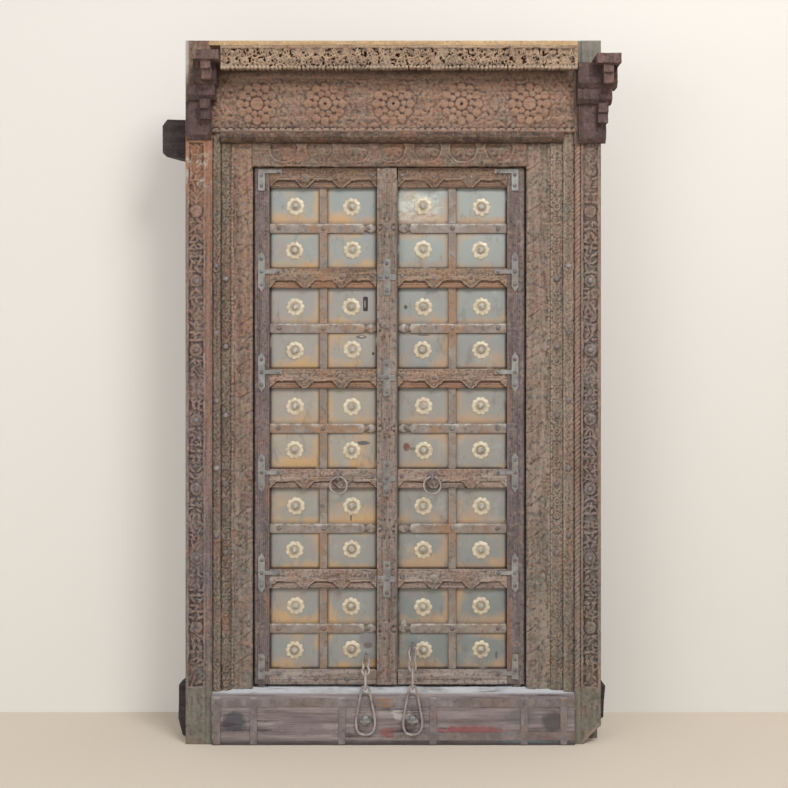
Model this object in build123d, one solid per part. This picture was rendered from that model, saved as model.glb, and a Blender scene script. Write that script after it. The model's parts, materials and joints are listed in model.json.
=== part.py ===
"""Carved temple door: a nested timber frame with two leaves that turn on wooden pivots.

Millimetres. +X is to the right seen from the front, the front faces -Y and +Z is up.
The origin is on the ground line, under the middle of the outer posts, in their front plane.
"""
import math
import os

from build123d import *

# Frame
post_height = 2296.0
frame_half_width = 677.5
post_width = 64.5
strip_width = 21.0
front_depth = 83.0
rear_depth = 67.0
band_widths = {"left": (28.0, 31.0, 71.0), "right": (36.0, 40.0, 79.0)}
outer_band_face = 8.0
middle_band_face = 14.0
jamb_face = 20.0
sill_face = -10.0
sill_front_height = 158.0
sill_top = 179.0
sill_slope_depth = 28.0
stop_overlap = 16.0
ear_reach = 40.0
horn_reach = 94.0
horn_height = 140.0

# The head of the frame, with its drops measured down from the top of the posts
lintel_drop = 406.0
lintel_height = 75.0
lintel_face = 15.0
ovolo_height = 33.0
frieze_face = 5.0
cornice_drop = 109.0
cornice_height = 75.0
cornice_face = -60.0
cornice_thickness = 24.0
cornice_board_height = 15.0

# Leaves
leaf_face = 32.0
leaf_thickness = 50.0
leaf_bottom = 187.0
leaf_head_gap = 3.0
reveal_gap = 4.0
meeting_gap = 3.0
meeting_line = 13.0
pivot_stile_widths = {"left": 50.0, "right": 58.0}
meeting_stile_width = 65.0
meeting_stile_proud = 6.0
axis_inset = 24.0
axis_depth = 16.0
pivot_radius = 15.0
pivot_length = 42.0
pivot_clearance = 0.3
rail_height = 63.0
rail_count = 6
bottom_rail_height = 48.0
board_thickness = 30.5
board_count = 3
sheet_thickness = 1.5

# Ironwork and brass
strap_height = 31.0
strap_thickness = 4.0
bar_width = 25.0
bar_thickness = 5.0
boss_radius = 30.0
boss_height = 10.0
boss_share_x = 0.53
boss_spread_z = 72.0
plate_thickness = 2.5
plate_width = 23.0
nail_radius = 7.0
nail_height = 4.0
ring_radius = 30.0
ring_wire = 6.5
ring_shares = {"left": 0.286, "right": -0.37}
chain_wire = 8.5
chain_shares = {"left": 0.794, "right": -0.731}
loop_top_height = 199.0
loop_length = 168.0
loop_width = 72.0
loop_top_width = 40.0
sill_staple_height = 84.0
running_gap = 0.7
chain_clearance = 1.0

# Derived places
back = front_depth + rear_depth
strip_edge = frame_half_width - post_width
band_start = strip_edge - strip_width
opening = {
    "left": -band_start + sum(band_widths["left"]),
    "right": band_start - sum(band_widths["right"]),
}
leaf_edge = {"left": opening["left"] + reveal_gap, "right": opening["right"] - reveal_gap}
axis_x = {"left": leaf_edge["left"] + axis_inset, "right": leaf_edge["right"] - axis_inset}
axis_y = leaf_face + axis_depth
leaf_back = leaf_face + leaf_thickness
lintel_bottom = post_height - lintel_drop
cornice_bottom = post_height - cornice_drop
leaf_top = lintel_bottom - leaf_head_gap
free_edge = {"left": meeting_line - meeting_gap / 2, "right": meeting_line + meeting_gap / 2}
lintel_top = lintel_bottom + lintel_height
ovolo_top = lintel_top + ovolo_height
cornice_top = cornice_bottom + cornice_height
board_face = leaf_back - board_thickness
sheet_face = board_face - sheet_thickness
rail_pitch = (leaf_top - leaf_bottom - bottom_rail_height) / (rail_count - 1)
panel_height = rail_pitch - rail_height
panel_edges = {
    "left": (leaf_edge["left"] + pivot_stile_widths["left"], free_edge["left"] - meeting_stile_width),
    "right": (free_edge["right"], leaf_edge["right"] - pivot_stile_widths["right"]),
}
sides = ("left", "right")
outward = {"left": -1, "right": 1}
panel_middle = {side: sum(panel_edges[side]) / 2 for side in sides}
panel_half_width = {side: (panel_edges[side][1] - panel_edges[side][0]) / 2 for side in sides}
ring_places = {side: panel_middle[side] + ring_shares[side] * panel_half_width[side] for side in sides}
chain_places = {side: panel_middle[side] + chain_shares[side] * panel_half_width[side] for side in sides}


def block(x0, x1, y0, y1, z0, z1):
    """A rectangular timber or plate between two corners."""
    place = Pos((x0 + x1) / 2, (y0 + y1) / 2, (z0 + z1) / 2)
    return place * Box(abs(x1 - x0), abs(y1 - y0), abs(z1 - z0))


def front_prism(points, y0, y1):
    """An outline seen from the front, as x and z, cut from a board between two depths."""
    face = Plane.XZ.offset(-y1) * make_face(Polyline(points, close=True))
    return extrude(face, y1 - y0)


def plan_prism(outline, z0, z1):
    """A closed outline in plan, raised from one height to another."""
    return Pos(0, 0, z0) * extrude(outline, z1 - z0)


def end_prism(points, x0, x1):
    """A moulding's end outline, as y and z, run along X."""
    face = Plane.YZ.offset(x0) * make_face(Polyline(points, close=True))
    return extrude(face, x1 - x0)


def facing_front(solid, x, y, z):
    """Turns a solid that stands on its base so that it stands out of a front face."""
    return Pos(x, y, z) * Rot(90, 0, 0) * solid


def relief(radius, height, corners, taper=30.0):
    """A low carved knob with sloping sides."""
    return extrude(RegularPolygon(radius, corners), height, taper=taper)


nail = relief(nail_radius, nail_height, 4, taper=38.0)


def flower(radius, inner, height, petals):
    """A flat flower with pointed petals."""
    points = []
    for step in range(2 * petals):
        reach = radius if step % 2 == 0 else inner
        angle = math.pi * step / petals
        points.append((reach * math.cos(angle), reach * math.sin(angle)))
    return extrude(make_face(Polyline(points, close=True)), height)


def fuse(base, pieces):
    """One solid from a base and the carved forms that stand on it."""
    return base.fuse(*pieces) if pieces else base


def group(pieces):
    """Separate solids in one node."""
    return Compound(children=[piece.solid() for piece in pieces])


def stem(middle, swing, width, z0, pitch, count, y0, y1):
    """A carved stem of even width that swings from side to side as it rises."""
    steps = 6
    line = []
    for step in range(count * steps + 1):
        angle = 2 * math.pi * step / steps
        line.append((middle + swing * math.sin(angle), z0 + pitch * step / steps))
    left_side = [(x - width / 2, z) for x, z in line]
    right_side = [(x + width / 2, z) for x, z in reversed(line)]
    return front_prism(left_side + right_side, y0, y1)


# Frame members
medallion_pitch = 226.5
medallion_first = 380.0
nail_count = 5
outer_band_nails = (680.0, 220.5)
middle_band_nails = (625.0, 224.0)
nail_pad = 3.0
vine_pitch = 242.0
vine_first = 200.0
relief_height = 4.0


def row_heights(first, pitch, count=nail_count):
    return [first + pitch * step for step in range(count)]


def medallion_heights():
    """Middles of the round medallions that fit between the sill and the ovolo."""
    count = round((lintel_top - medallion_first) / medallion_pitch) + 1
    return row_heights(medallion_first, medallion_pitch, count)


def outer_post(side):
    """The widest upright, with sunk foliage between a border and the inner strip."""
    sign = outward[side]
    inner = strip_edge if side == "right" else band_start
    post = block(sign * inner, sign * frame_half_width, 0, front_depth, 0, post_height)
    groove_inner = strip_edge + 2
    groove_outer = frame_half_width - 9
    groove_bottom = sill_top
    groove_top = lintel_top
    middle = sign * (groove_inner + groove_outer) / 2
    post -= block(sign * groove_inner, sign * groove_outer, -1, relief_height, groove_bottom, groove_top)
    knobs = []
    for z in medallion_heights():
        knobs.append(facing_front(relief(22, relief_height, 6), middle, relief_height, z))
        for turn in (-1, 1):
            leaf = [
                (middle - sign * turn * 24, z + turn * 36),
                (middle, z + turn * 86),
                (middle + sign * turn * 22, z + turn * 52),
            ]
            knobs.append(front_prism(leaf, 0.5, relief_height))
    post = fuse(post, knobs)
    if side == "right":
        foot = [
            (frame_half_width + 1, 62),
            (frame_half_width - 20, 62),
            (frame_half_width - 30, 34),
            (frame_half_width - 58, 9),
            (frame_half_width - 58, -1),
            (frame_half_width + 1, -1),
        ]
        post -= front_prism(foot, -1, front_depth - 12)
    return post


def rope_moulding():
    """The twisted bead beside the right post, plain at its foot and behind the bracket."""
    x0, x1 = band_start, strip_edge
    body = block(x0, x1, 6, front_depth, sill_top, lintel_top)
    pitch = 64.0
    ridges = []
    z = sill_top + 10
    while z + pitch < lintel_top:
        slant = [(x0, z), (x1, z + 20), (x1, z + 48), (x0, z + 28)]
        ridges.append(front_prism(slant, 1, 6))
        z += pitch
    foot = block(x0, x1, 2, front_depth, 0, sill_top)
    head = block(x0, x1, 2, front_depth, lintel_top, post_height)
    return fuse(body, ridges + [foot, head])


def sill_surface(y):
    """Height of the sill at a depth: it slopes up from the worn front edge."""
    share = min(1.0, (y - sill_face) / (sill_slope_depth - sill_face))
    return sill_front_height + (sill_top - sill_front_height) * share


def upright(x0, x1, face, top):
    """A plain upright that stands on the sloping sill."""
    points = [
        (face, sill_surface(face)),
        (sill_slope_depth, sill_top),
        (front_depth, sill_top),
        (front_depth, top),
        (face, top),
    ]
    return end_prism(points, min(x0, x1), max(x0, x1))


def band_edges(side):
    """Outer edges of the three nested bands, and the edge of the opening."""
    edges = [band_start]
    for width in band_widths[side]:
        edges.append(edges[-1] - width)
    return [outward[side] * edge for edge in edges]


def outer_band(side):
    """First nested band, which rises to the frieze, with a raised lozenge between its nails."""
    x0, x1 = band_edges(side)[:2]
    body = upright(x0, x1, outer_band_face, ovolo_top)
    middle = (x0 + x1) / 2
    reach = abs(x1 - x0) / 2 - 3
    forms = []
    for z in medallion_heights()[:-1]:
        centre = z - medallion_pitch * 0.2
        lozenge = [
            (middle - reach, centre),
            (middle, centre - 50),
            (middle + reach, centre),
            (middle, centre + 50),
        ]
        forms.append(front_prism(lozenge, outer_band_face - 3, outer_band_face))
    return fuse(body, forms)


def middle_band(side):
    """Second nested band, with a scalloped leaf edge."""
    x0, x1 = band_edges(side)[1:3]
    body = upright(x0, x1, middle_band_face, lintel_top)
    sign = outward[side]
    reach = abs(x1 - x0) - 6
    forms = []
    step = medallion_pitch / 2
    z = sill_top + 20
    while z + step < lintel_top:
        scallop = [
            (x0 - sign * 2, z + 4),
            (x0 - sign * reach, z + step * 0.55),
            (x0 - sign * 2, z + step - 8),
        ]
        forms.append(front_prism(scallop, middle_band_face - nail_pad, middle_band_face))
        z += step
    for height in row_heights(*middle_band_nails):
        forms.append(facing_front(relief(12, nail_pad, 4, taper=0), (x0 + x1) / 2, middle_band_face, height))
    return fuse(body, forms)


def vine_jamb(side):
    """The jamb beside the leaf: a sunk field with a running vine between two beads."""
    x0, x1 = band_edges(side)[2:4]
    sign = outward[side]
    body = upright(x0, x1, jamb_face, lintel_top)
    field_outer = x0 - sign * 8
    field_inner = x1 + sign * 4
    field_top = lintel_top - 20
    body -= block(field_outer, field_inner, jamb_face - 1, jamb_face + relief_height, vine_first - 10, field_top)
    middle = (field_outer + field_inner) / 2
    swing = abs(field_outer - field_inner) / 2 - 9
    vine_count = int((field_top - vine_first) / vine_pitch)
    vine = stem(middle, swing, 13, vine_first, vine_pitch, vine_count, jamb_face, jamb_face + relief_height)
    leaves = []
    for step in range(2 * vine_count):
        z = vine_first + vine_pitch * (step + 0.5) / 2
        lean = -1 if step % 2 == 0 else 1
        base = middle + lean * (swing - 8)
        leaf = [(base - lean * 14, z - 14), (base + lean * 11, z - 30), (base + lean * 8, z + 28)]
        leaves.append(front_prism(leaf, jamb_face + 0.5, jamb_face + relief_height))
    return fuse(body, [vine] + leaves)


def pivot_bore(x, z0, z1):
    """The socket that a leaf's wooden pivot turns in."""
    return Pos(x, axis_y, (z0 + z1) / 2) * Cylinder(pivot_radius + pivot_clearance, z1 - z0)


def sill():
    """The threshold between the posts, worn to a slope in front of the leaves."""
    points = [
        (sill_face, 0),
        (front_depth, 0),
        (front_depth, sill_top),
        (sill_slope_depth, sill_top),
        (sill_face, sill_front_height),
    ]
    body = end_prism(points, -band_start, band_start)
    for side in sides:
        depth = pivot_length - (sill_top - leaf_bottom) + pivot_clearance
        body -= pivot_bore(axis_x[side], leaf_bottom - depth + sill_top - leaf_bottom, sill_top + 1)
    return body


def ground_beam():
    """The beam behind the sill, whose ends stand out past the posts as ears."""
    top = leaf_bottom + stop_overlap
    reach = frame_half_width + ear_reach
    low = reach - 12
    points = [
        (-low, 0),
        (frame_half_width - 6, 0),
        (frame_half_width - 4, 40),
        (reach - 14, 62),
        (reach - 8, 168),
        (frame_half_width, top),
        (-frame_half_width, top),
        (-reach, 172),
        (-reach - 2, 60),
    ]
    return front_prism(points, front_depth, back)


def head_beam():
    """The beam behind the lintel. Its left end stands out as a chamfered horn."""
    bottom = leaf_top - stop_overlap
    top = bottom + horn_height + 50
    reach = frame_half_width + horn_reach
    points = [
        (-frame_half_width + 6, bottom),
        (frame_half_width, bottom),
        (frame_half_width, top),
        (-reach + 16, top),
        (-reach, top - 22),
        (-reach, top - horn_height + 26),
        (-frame_half_width + 6, top - horn_height),
    ]
    return front_prism(points, front_depth, back)


def rear_post(side):
    """The plain post behind the carved bands, which the closed leaf rests against."""
    sign = outward[side]
    inner = abs(leaf_edge[side]) - stop_overlap
    bottom = leaf_bottom + stop_overlap
    top = leaf_top - stop_overlap
    return block(sign * inner, sign * frame_half_width, front_depth, back, bottom, top)


lappet_width = 66.0
lappet_drop = 44.0


def lappet(x, y0, y1):
    """A hanging tulip shape on the lintel."""
    top = lintel_top - 6
    half = lappet_width / 2
    points = [
        (x - half, top),
        (x - half + 8, top - lappet_drop * 0.5),
        (x - half + 20, top - lappet_drop * 0.8),
        (x, top - lappet_drop - 8),
        (x + half - 20, top - lappet_drop * 0.8),
        (x + half - 8, top - lappet_drop * 0.5),
        (x + half, top),
    ]
    return front_prism(points, y0, y1)


lappet_pitch = 235.0
lappet_shift = 112.0


def lintel():
    """The head of the opening, with hanging lappets and a bar between each pair."""
    body = block(opening["left"], opening["right"], lintel_face, front_depth, lintel_bottom, lintel_top)
    forms = []
    for step in range(-2, 2):
        x = lappet_shift + lappet_pitch * step
        forms.append(lappet(x, lintel_face - 4, lintel_face))
        bar_x = x - lappet_pitch / 2
        if bar_x - 46 > opening["left"]:
            forms.append(block(bar_x - 45, bar_x + 40, lintel_face - 5, lintel_face, lintel_bottom + 6, lintel_bottom + 22))
    body = fuse(body, forms)
    for side in sides:
        body -= pivot_bore(axis_x[side], lintel_bottom - 1, leaf_top + pivot_length + pivot_clearance)
    return body


def ovolo():
    """The dark rounded moulding between the lintel and the frieze."""
    points = [
        (front_depth, lintel_top),
        (front_depth, ovolo_top),
        (-8, ovolo_top),
        (-14, ovolo_top - 8),
        (-12, ovolo_top - 19),
        (-4, ovolo_top - 28),
        (6, lintel_top),
    ]
    return end_prism(points, band_edges("left")[1], band_edges("right")[1])


frieze_half_height = (cornice_bottom - ovolo_top) / 2
rosette_height = ovolo_top + frieze_half_height
rosette_radius = frieze_half_height * 0.76
rosette_pitch = 223.0
rosette_count = 5


def rosette(x):
    """A carved rosette: a round boss inside a ring of six petals and a ring of twelve."""
    layers = (
        (flower(rosette_radius, rosette_radius * 0.74, 5, 12), frieze_face),
        (flower(rosette_radius * 0.54, rosette_radius * 0.38, 3, 6), frieze_face - 5),
        (relief(rosette_radius * 0.27, 4, 6), frieze_face - 8),
    )
    return [facing_front(form, x, face, rosette_height) for form, face in layers]


def frieze():
    """The broad board above the lintel, with five rosettes and a scalloped lip."""
    body = block(-band_start, band_start, frieze_face, front_depth, ovolo_top, cornice_top)
    forms = []
    for step in range(rosette_count):
        x = rosette_pitch * (step - (rosette_count - 1) / 2)
        forms += rosette(x)
        between = x + rosette_pitch / 2
        if step < rosette_count - 1:
            for turn in (-1, 1):
                z = rosette_height + turn * 42
                leaf = [(between, z + turn * 48), (between - 30, z), (between, z - turn * 28), (between + 30, z)]
                forms.append(front_prism(leaf, frieze_face - 4, frieze_face))
    lip = []
    cusps = 16
    reach = band_start - strip_width + 1
    width = 2 * reach / cusps
    for step in range(cusps):
        x = -reach + width * step
        lip += [(x, ovolo_top + 2), (x + width / 2, ovolo_top + 13)]
    lip += [(reach, ovolo_top + 2), (reach, ovolo_top), (-reach, ovolo_top)]
    forms.append(front_prism(lip, frieze_face - 8, frieze_face))
    return fuse(body, forms)


cornice_left = 37.0 - band_start
cornice_right = band_start
scroll_pitch = 104.0


def cornice_carving():
    """The pierced scroll board that hangs in front of the frieze."""
    width = cornice_right - cornice_left
    count = round(width / scroll_pitch)
    pitch = width / count
    lower = []
    for step in range(count):
        x = cornice_left + pitch * step
        lower += [(x, cornice_bottom + 10), (x + pitch * 0.25, cornice_bottom), (x + pitch * 0.75, cornice_bottom)]
    outline = lower + [(cornice_right, cornice_bottom + 10), (cornice_right, cornice_top), (cornice_left, cornice_top)]
    y0, y1 = cornice_face, cornice_face + cornice_thickness
    body = front_prism(outline, y0, y1)
    holes = []
    for step in range(count):
        x = cornice_left + pitch * (step + 0.5)
        low, high = cornice_bottom + 14, cornice_top - 14
        middle = (low + high) / 2
        holes.append([(x - 30, low + 8), (x - 14, low), (x - 20, middle)])
        holes.append([(x + 30, high - 8), (x + 14, high), (x + 20, middle)])
        holes.append([(x - 6, middle - 14), (x + 26, low + 2), (x + 10, low + 16), (x + 3, middle - 2)])
        holes.append([(x + 6, middle + 14), (x - 26, high - 2), (x - 10, high - 16), (x - 3, middle + 2)])
    cutters = [front_prism(points, y0 - 1, y1 + 1) for points in holes]
    return body.cut(*cutters)


def cornice_board():
    """The raw board that closes the top of the frame."""
    return block(-band_start, band_start, cornice_face, front_depth, cornice_top, cornice_top + cornice_board_height)


bracket_drop = 58.0
bracket_height = 267.0
bracket_depth = 100.0
neck_width = 33.0


def bracket(spans, cap_span, neck_left, drop):
    """A stepped bracket on the front of the post's head, carved from one block. Spans run upwards."""
    top = post_height - bracket_drop - drop
    bottom = top - bracket_height
    shares = ((0.0, 0.46, 0.2), (0.46, 0.64, 0.4), (0.64, 0.94, 0.55))
    tiers = []
    for (x0, x1), (low, high, depth) in zip(spans, shares):
        z0, z1 = bottom + bracket_height * low, bottom + bracket_height * high
        reach = bracket_depth * depth
        flank = [(0, z0), (0, z1), (-reach, z1), (-reach, z0 + 14), (-reach + 12, z0)]
        tiers.append(end_prism(flank, x0, x1))
    cap = block(*cap_span, -bracket_depth, 0, top - bracket_height * 0.12, top)
    necks = []
    for shift, depth, low, high in ((0, 0.92, 0.78, 0.9), (2, 0.84, 0.66, 0.79), (-9, 0.5, 0.34, 0.46), (-9, 0.42, 0.22, 0.35)):
        x = neck_left + shift
        z0, z1 = bottom + bracket_height * low, bottom + bracket_height * high
        necks.append(block(x, x + neck_width, -bracket_depth * depth, -bracket_depth * 0.1, z0, z1))
    return fuse(tiers[0], tiers[1:] + necks + [cap])


def left_bracket():
    edge = -frame_half_width
    spans = ((edge + 4, edge + 86), (edge + 13, edge + 102), (edge + 32, edge + 107))
    return bracket(spans, (edge + 49, edge + 122), edge + 63, 0)


def right_bracket():
    edge = frame_half_width
    spans = ((edge - 76, edge + 14), (edge - 82, edge + 30), (edge - 83, edge + 44))
    return bracket(spans, (edge - 31, edge + 47), edge - 8, 12)


strap_places = (
    -band_start + 18,
    opening["left"] + 7.5,
    -band_start * 0.282,
    band_start * 0.219,
    opening["right"] - 11,
    band_start - 37.5,
)
sill_strap_width = 23.0
sill_strip_height = 27.0


def sill_irons():
    """Flat iron straps nailed round the front of the sill, joined by two strips."""
    y0, y1 = sill_face - plate_thickness, sill_face
    upper = sill_front_height - sill_strip_height - 6
    strips = [
        block(-band_start, band_start, y0, y1, upper, upper + sill_strip_height),
        block(0, band_start, y0, y1, 16, 16 + sill_strip_height),
    ]
    for x in strap_places:
        half = sill_strap_width / 2
        strips.append(block(x - half, x + half, y0, y1, 3, sill_front_height - 2))
    return fuse(strips[0], strips[1:])


staple_wire = 8.0
staple_gap = 20.0
staple_reach = 26.0


def staple(x, y, z, wire, gap, reach):
    """A square iron staple that stands out of a front face, with its gap running up and down."""
    half = gap / 2 + wire
    outer = [(x - half, y), (x - half, y - reach + 6), (x - half + 6, y - reach), (x + half - 6, y - reach)]
    outer += [(x + half, y - reach + 6), (x + half, y)]
    inner = [(x - gap / 2, y + 1), (x - gap / 2, y - reach + wire), (x + gap / 2, y - reach + wire), (x + gap / 2, y + 1)]
    shape = make_face(Polyline(outer, close=True)) - make_face(Polyline(inner, close=True))
    return Pos(0, 0, z - wire / 2) * extrude(shape, wire)


def sill_staples():
    """The two staples that the chains' long loops drop over."""
    face = sill_face
    return group([
        staple(chain_places[side], face, sill_staple_height, staple_wire, staple_gap, staple_reach)
        for side in sides
    ])


def frame_nails():
    """Domed nails that hold the posts and the first two bands."""
    nails = []
    for side in sides:
        edges = band_edges(side)
        outer_middle = (edges[0] + edges[1]) / 2
        middle_middle = (edges[1] + edges[2]) / 2
        post_middle = outward[side] * (strip_edge + frame_half_width - 7) / 2
        for z in row_heights(medallion_first + medallion_pitch, medallion_pitch):
            nails.append(facing_front(nail, post_middle, 0, z))
        for z in row_heights(*outer_band_nails):
            nails.append(facing_front(nail, outer_middle, outer_band_face, z))
        for z in row_heights(*middle_band_nails):
            nails.append(facing_front(nail, middle_middle, middle_band_face - nail_pad, z))
    return group(nails)


# Leaves
def pivot_stile(side):
    """The outer stile, rounded about the pivot, with a round pivot at each end."""
    sign = outward[side]
    width = pivot_stile_widths[side]
    front = -axis_depth
    rear = leaf_thickness - axis_depth
    swing_front = axis_inset + reveal_gap - 1.0
    swing_rear = rear - running_gap
    front_y = -math.sqrt(swing_front**2 - axis_inset**2)
    front_x = -math.sqrt(swing_front**2 - axis_depth**2)
    rear_y = math.sqrt(swing_rear**2 - axis_inset**2)
    middle = (rear_y / swing_rear + 1) / 2
    middle_angle = math.asin(middle)
    arc_middle = (-swing_rear * math.cos(middle_angle), swing_rear * math.sin(middle_angle))
    arc = ThreePointArc((-axis_inset, rear_y), arc_middle, (0, swing_rear))
    line = Polyline(
        (0, swing_rear),
        (0, rear),
        (width - axis_inset, rear),
        (width - axis_inset, front),
        (front_x, front),
        (-axis_inset, front_y),
        (-axis_inset, rear_y),
    )
    outline = make_face([arc, line])
    body = plan_prism(outline, leaf_bottom, leaf_top)
    for z in (leaf_bottom - pivot_length / 2, leaf_top + pivot_length / 2):
        body += Pos(0, 0, z) * Cylinder(pivot_radius, pivot_length)
    if sign > 0:
        body = body.mirror(Plane.YZ)
    return Pos(axis_x[side], axis_y, 0) * body


flute_count = 4


def meeting_stile():
    """The fluted stile on the left leaf's free edge, with a carved block on each field."""
    x0 = free_edge["left"] - meeting_stile_width
    x1 = free_edge["left"]
    face = leaf_face - meeting_stile_proud
    border = 8.0
    pitch = (meeting_stile_width - 2 * border) / flute_count
    points = [(x0, leaf_back), (x0, face + 3), (x0 + 3, face), (x0 + border, face)]
    for step in range(flute_count):
        x = x0 + border + pitch * step
        points += [(x + pitch * 0.5, face + 4), (x + pitch, face)]
    points += [(x1 - 3, face), (x1, face + 3), (x1, leaf_back)]
    outline = make_face(Polyline(points, close=True))
    body = plan_prism(outline, leaf_bottom, leaf_top)
    forms = []
    for z in panel_middles():
        half = meeting_stile_width / 2 - 6
        x = (x0 + x1) / 2
        forms.append(block(x - half, x + half, face - 2, face + 5, z - 34, z + 34))
    return fuse(body, forms)


def rail_tops():
    return [leaf_top - rail_pitch * step for step in range(rail_count)]


def panel_middles():
    return [top - rail_height - panel_height / 2 for top in rail_tops()[:-1]]


def rail(side, number):
    """A rail with a beaded top, reeds along its middle and a scalloped lower edge."""
    x0, x1 = panel_edges[side]
    top = rail_tops()[number]
    last = number == rail_count - 1
    height = bottom_rail_height if last else rail_height
    bottom = top - height
    scallop = 0.0 if last else 14.0
    face = leaf_face
    points = [
        (board_face, bottom + scallop),
        (board_face, top),
        (face + 2, top),
        (face, top - 4),
        (face, top - 18),
        (face + 4, top - 21),
        (face + 1, top - 28),
        (face + 4, top - 35),
        (face + 4, bottom + scallop),
    ]
    body = end_prism(points, x0, x1)
    if last:
        return body
    cusps = 6
    width = (x1 - x0) / cusps
    edge = [(x0, bottom + scallop)]
    for step in range(cusps):
        x = x0 + width * step
        edge += [(x + width * 0.3, bottom), (x + width * 0.7, bottom), (x + width, bottom + scallop - 3)]
    edge += [(x1, bottom + scallop + 3), (x0, bottom + scallop + 3)]
    lip = front_prism(edge, face + 5, sheet_face)
    middle = (x0 + x1) / 2
    rosettes = [
        facing_front(relief(17, 4, 6), middle + turn * 61, face + 4, bottom + 18)
        for turn in (-1, 1)
    ]
    return fuse(body, [lip] + rosettes)


def boards(side):
    """The planks that close the leaf behind its rails and iron sheets."""
    x0, x1 = panel_edges[side]
    width = (x1 - x0) / board_count
    return group([
        block(x0 + width * step, x0 + width * (step + 1), board_face, leaf_back, leaf_bottom, leaf_top)
        for step in range(board_count)
    ])


def sheets(side):
    """Thin iron sheets nailed over the planks, one in each field."""
    x0, x1 = panel_edges[side]
    pieces = []
    for number, top in enumerate(rail_tops()[:-1]):
        low = rail_tops()[number + 1]
        field_top = top - rail_height + 14
        pieces.append(block(x0, x1, sheet_face, board_face, low, field_top))
    return group(pieces)


def bars(side):
    """The upright iron bars that split each field, above and below its strap."""
    x0, x1 = panel_edges[side]
    middle = (x0 + x1) / 2
    half = bar_width / 2
    pieces = []
    for z in panel_middles():
        for low, high in ((z - panel_height / 2, z - strap_height / 2), (z + strap_height / 2, z + panel_height / 2)):
            pieces.append(block(middle - half, middle + half, sheet_face - bar_thickness, sheet_face, low, high))
    return group(pieces)


def straps(side):
    """A flat strap across each field, with a rounded finial at its inner end."""
    x0, x1 = panel_edges[side]
    sign = outward[side]
    inner = x1 if side == "left" else x0
    outer = x0 if side == "left" else x1
    pieces = []
    for z in panel_middles():
        half = strap_height / 2
        neck = inner + sign * 40
        points = [
            (outer, z - half),
            (neck + sign * 6, z - half),
            (neck, z - 5),
            (inner + sign * 20, z - half),
            (inner + sign * 3, z - 6),
            (inner + sign * 3, z + 6),
            (inner + sign * 20, z + half),
            (neck, z + 5),
            (neck + sign * 6, z + half),
            (outer, z + half),
        ]
        pieces.append(front_prism(points, sheet_face - strap_thickness, sheet_face))
    return group(pieces)


def bosses(side):
    """Brass flower bosses, four in each field."""
    petals = flower(boss_radius, boss_radius * 0.78, boss_height * 0.45, 6)
    dome = Pos(0, 0, boss_height * 0.45) * relief(boss_radius * 0.42, boss_height * 0.55, 5)
    boss = petals + dome
    spread = boss_share_x * panel_half_width[side]
    pieces = []
    for z in panel_middles():
        for dx in (-spread, spread):
            for dz in (-boss_spread_z, boss_spread_z):
                pieces.append(facing_front(boss, panel_middle[side] + dx, sheet_face, z + dz))
    return group(pieces)


def plates(side):
    """Iron angle and cross plates that tie the outer stile to the rails."""
    sign = outward[side]
    edge = panel_edges[side][0] if side == "left" else panel_edges[side][1]
    x0, x1 = sorted((edge + sign * 14, edge + sign * (14 + plate_width)))
    arm0, arm1 = sorted((edge + sign * 14, edge - sign * 42))
    y0, y1 = leaf_face - plate_thickness, leaf_face
    pieces = []
    for number, top in enumerate(rail_tops()):
        z = top - 11
        arm = block(arm0, arm1, y0, y1, z - 7, z + 7)
        if number == 0:
            upright_plate = block(x0, x1, y0, y1, z - 64, z + 7)
        elif number == rail_count - 1:
            upright_plate = block(x0, x1, y0, y1, z - 20, z + 64)
        else:
            middle = (x0 + x1) / 2
            tips = [(middle, z - 66), (x1, z - 50), (x1, z + 50), (middle, z + 66), (x0, z + 50), (x0, z - 50)]
            upright_plate = front_prism(tips, y0, y1)
        pieces.append(fuse(upright_plate, [arm]))
    if side == "left":
        face = leaf_face - meeting_stile_proud
        middle = free_edge["left"] - meeting_stile_width / 2
        for top in rail_tops()[1:-1]:
            z = top - 30
            cross = block(middle - 12, middle + 12, face - plate_thickness, face, z - 60, z + 60)
            arm = block(middle - 30, middle + 30, face - plate_thickness, face, z - 10, z + 10)
            pieces.append(fuse(cross, [arm]))
    return group(pieces)


def leaf_nails(side):
    """Domed nails in the leaf's straps and in the meeting stile."""
    x0, x1 = panel_edges[side]
    strap_face = sheet_face - strap_thickness
    nails = []
    for z in panel_middles():
        for x in (x0 + 30, panel_middle[side], x1 - 30):
            nails.append(facing_front(nail, x, strap_face, z))
        if side == "left":
            x = free_edge["left"] - meeting_stile_width / 2
            nails.append(facing_front(nail, x, leaf_face - meeting_stile_proud - 2, z))
    return group(nails)


# Rings and chains
def bent_ring(outer, inner, wire):
    """A ring of bent bar with chamfered edges, flat in XZ and centred on y = 0."""
    shape = make_face(Polyline(outer, close=True)) - make_face(Polyline(inner, close=True))
    body = extrude(Plane.XZ.offset(-wire / 2) * shape, wire)
    long_edges = body.edges() - body.edges().filter_by(Axis.Y)
    return chamfer(long_edges, wire * 0.24)


def round_outline(radius, corners=12):
    """A facetted circle whose flats lie on the radius."""
    reach = radius / math.cos(math.pi / corners)
    angles = [2 * math.pi * step / corners for step in range(corners)]
    return [(reach * math.cos(angle), reach * math.sin(angle)) for angle in angles]


def oval_outline(half_width, half_length):
    """An upright oval in straight facets, flat at its top and foot."""
    straight = half_length - half_width
    reach = half_width / math.cos(math.pi / 8)
    points = []
    for end in (0, 1):
        for step in range(4):
            angle = math.pi * (end + (step + 0.5) / 4)
            points.append((reach * math.cos(angle), (1 - 2 * end) * straight + reach * math.sin(angle)))
    return points


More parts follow.
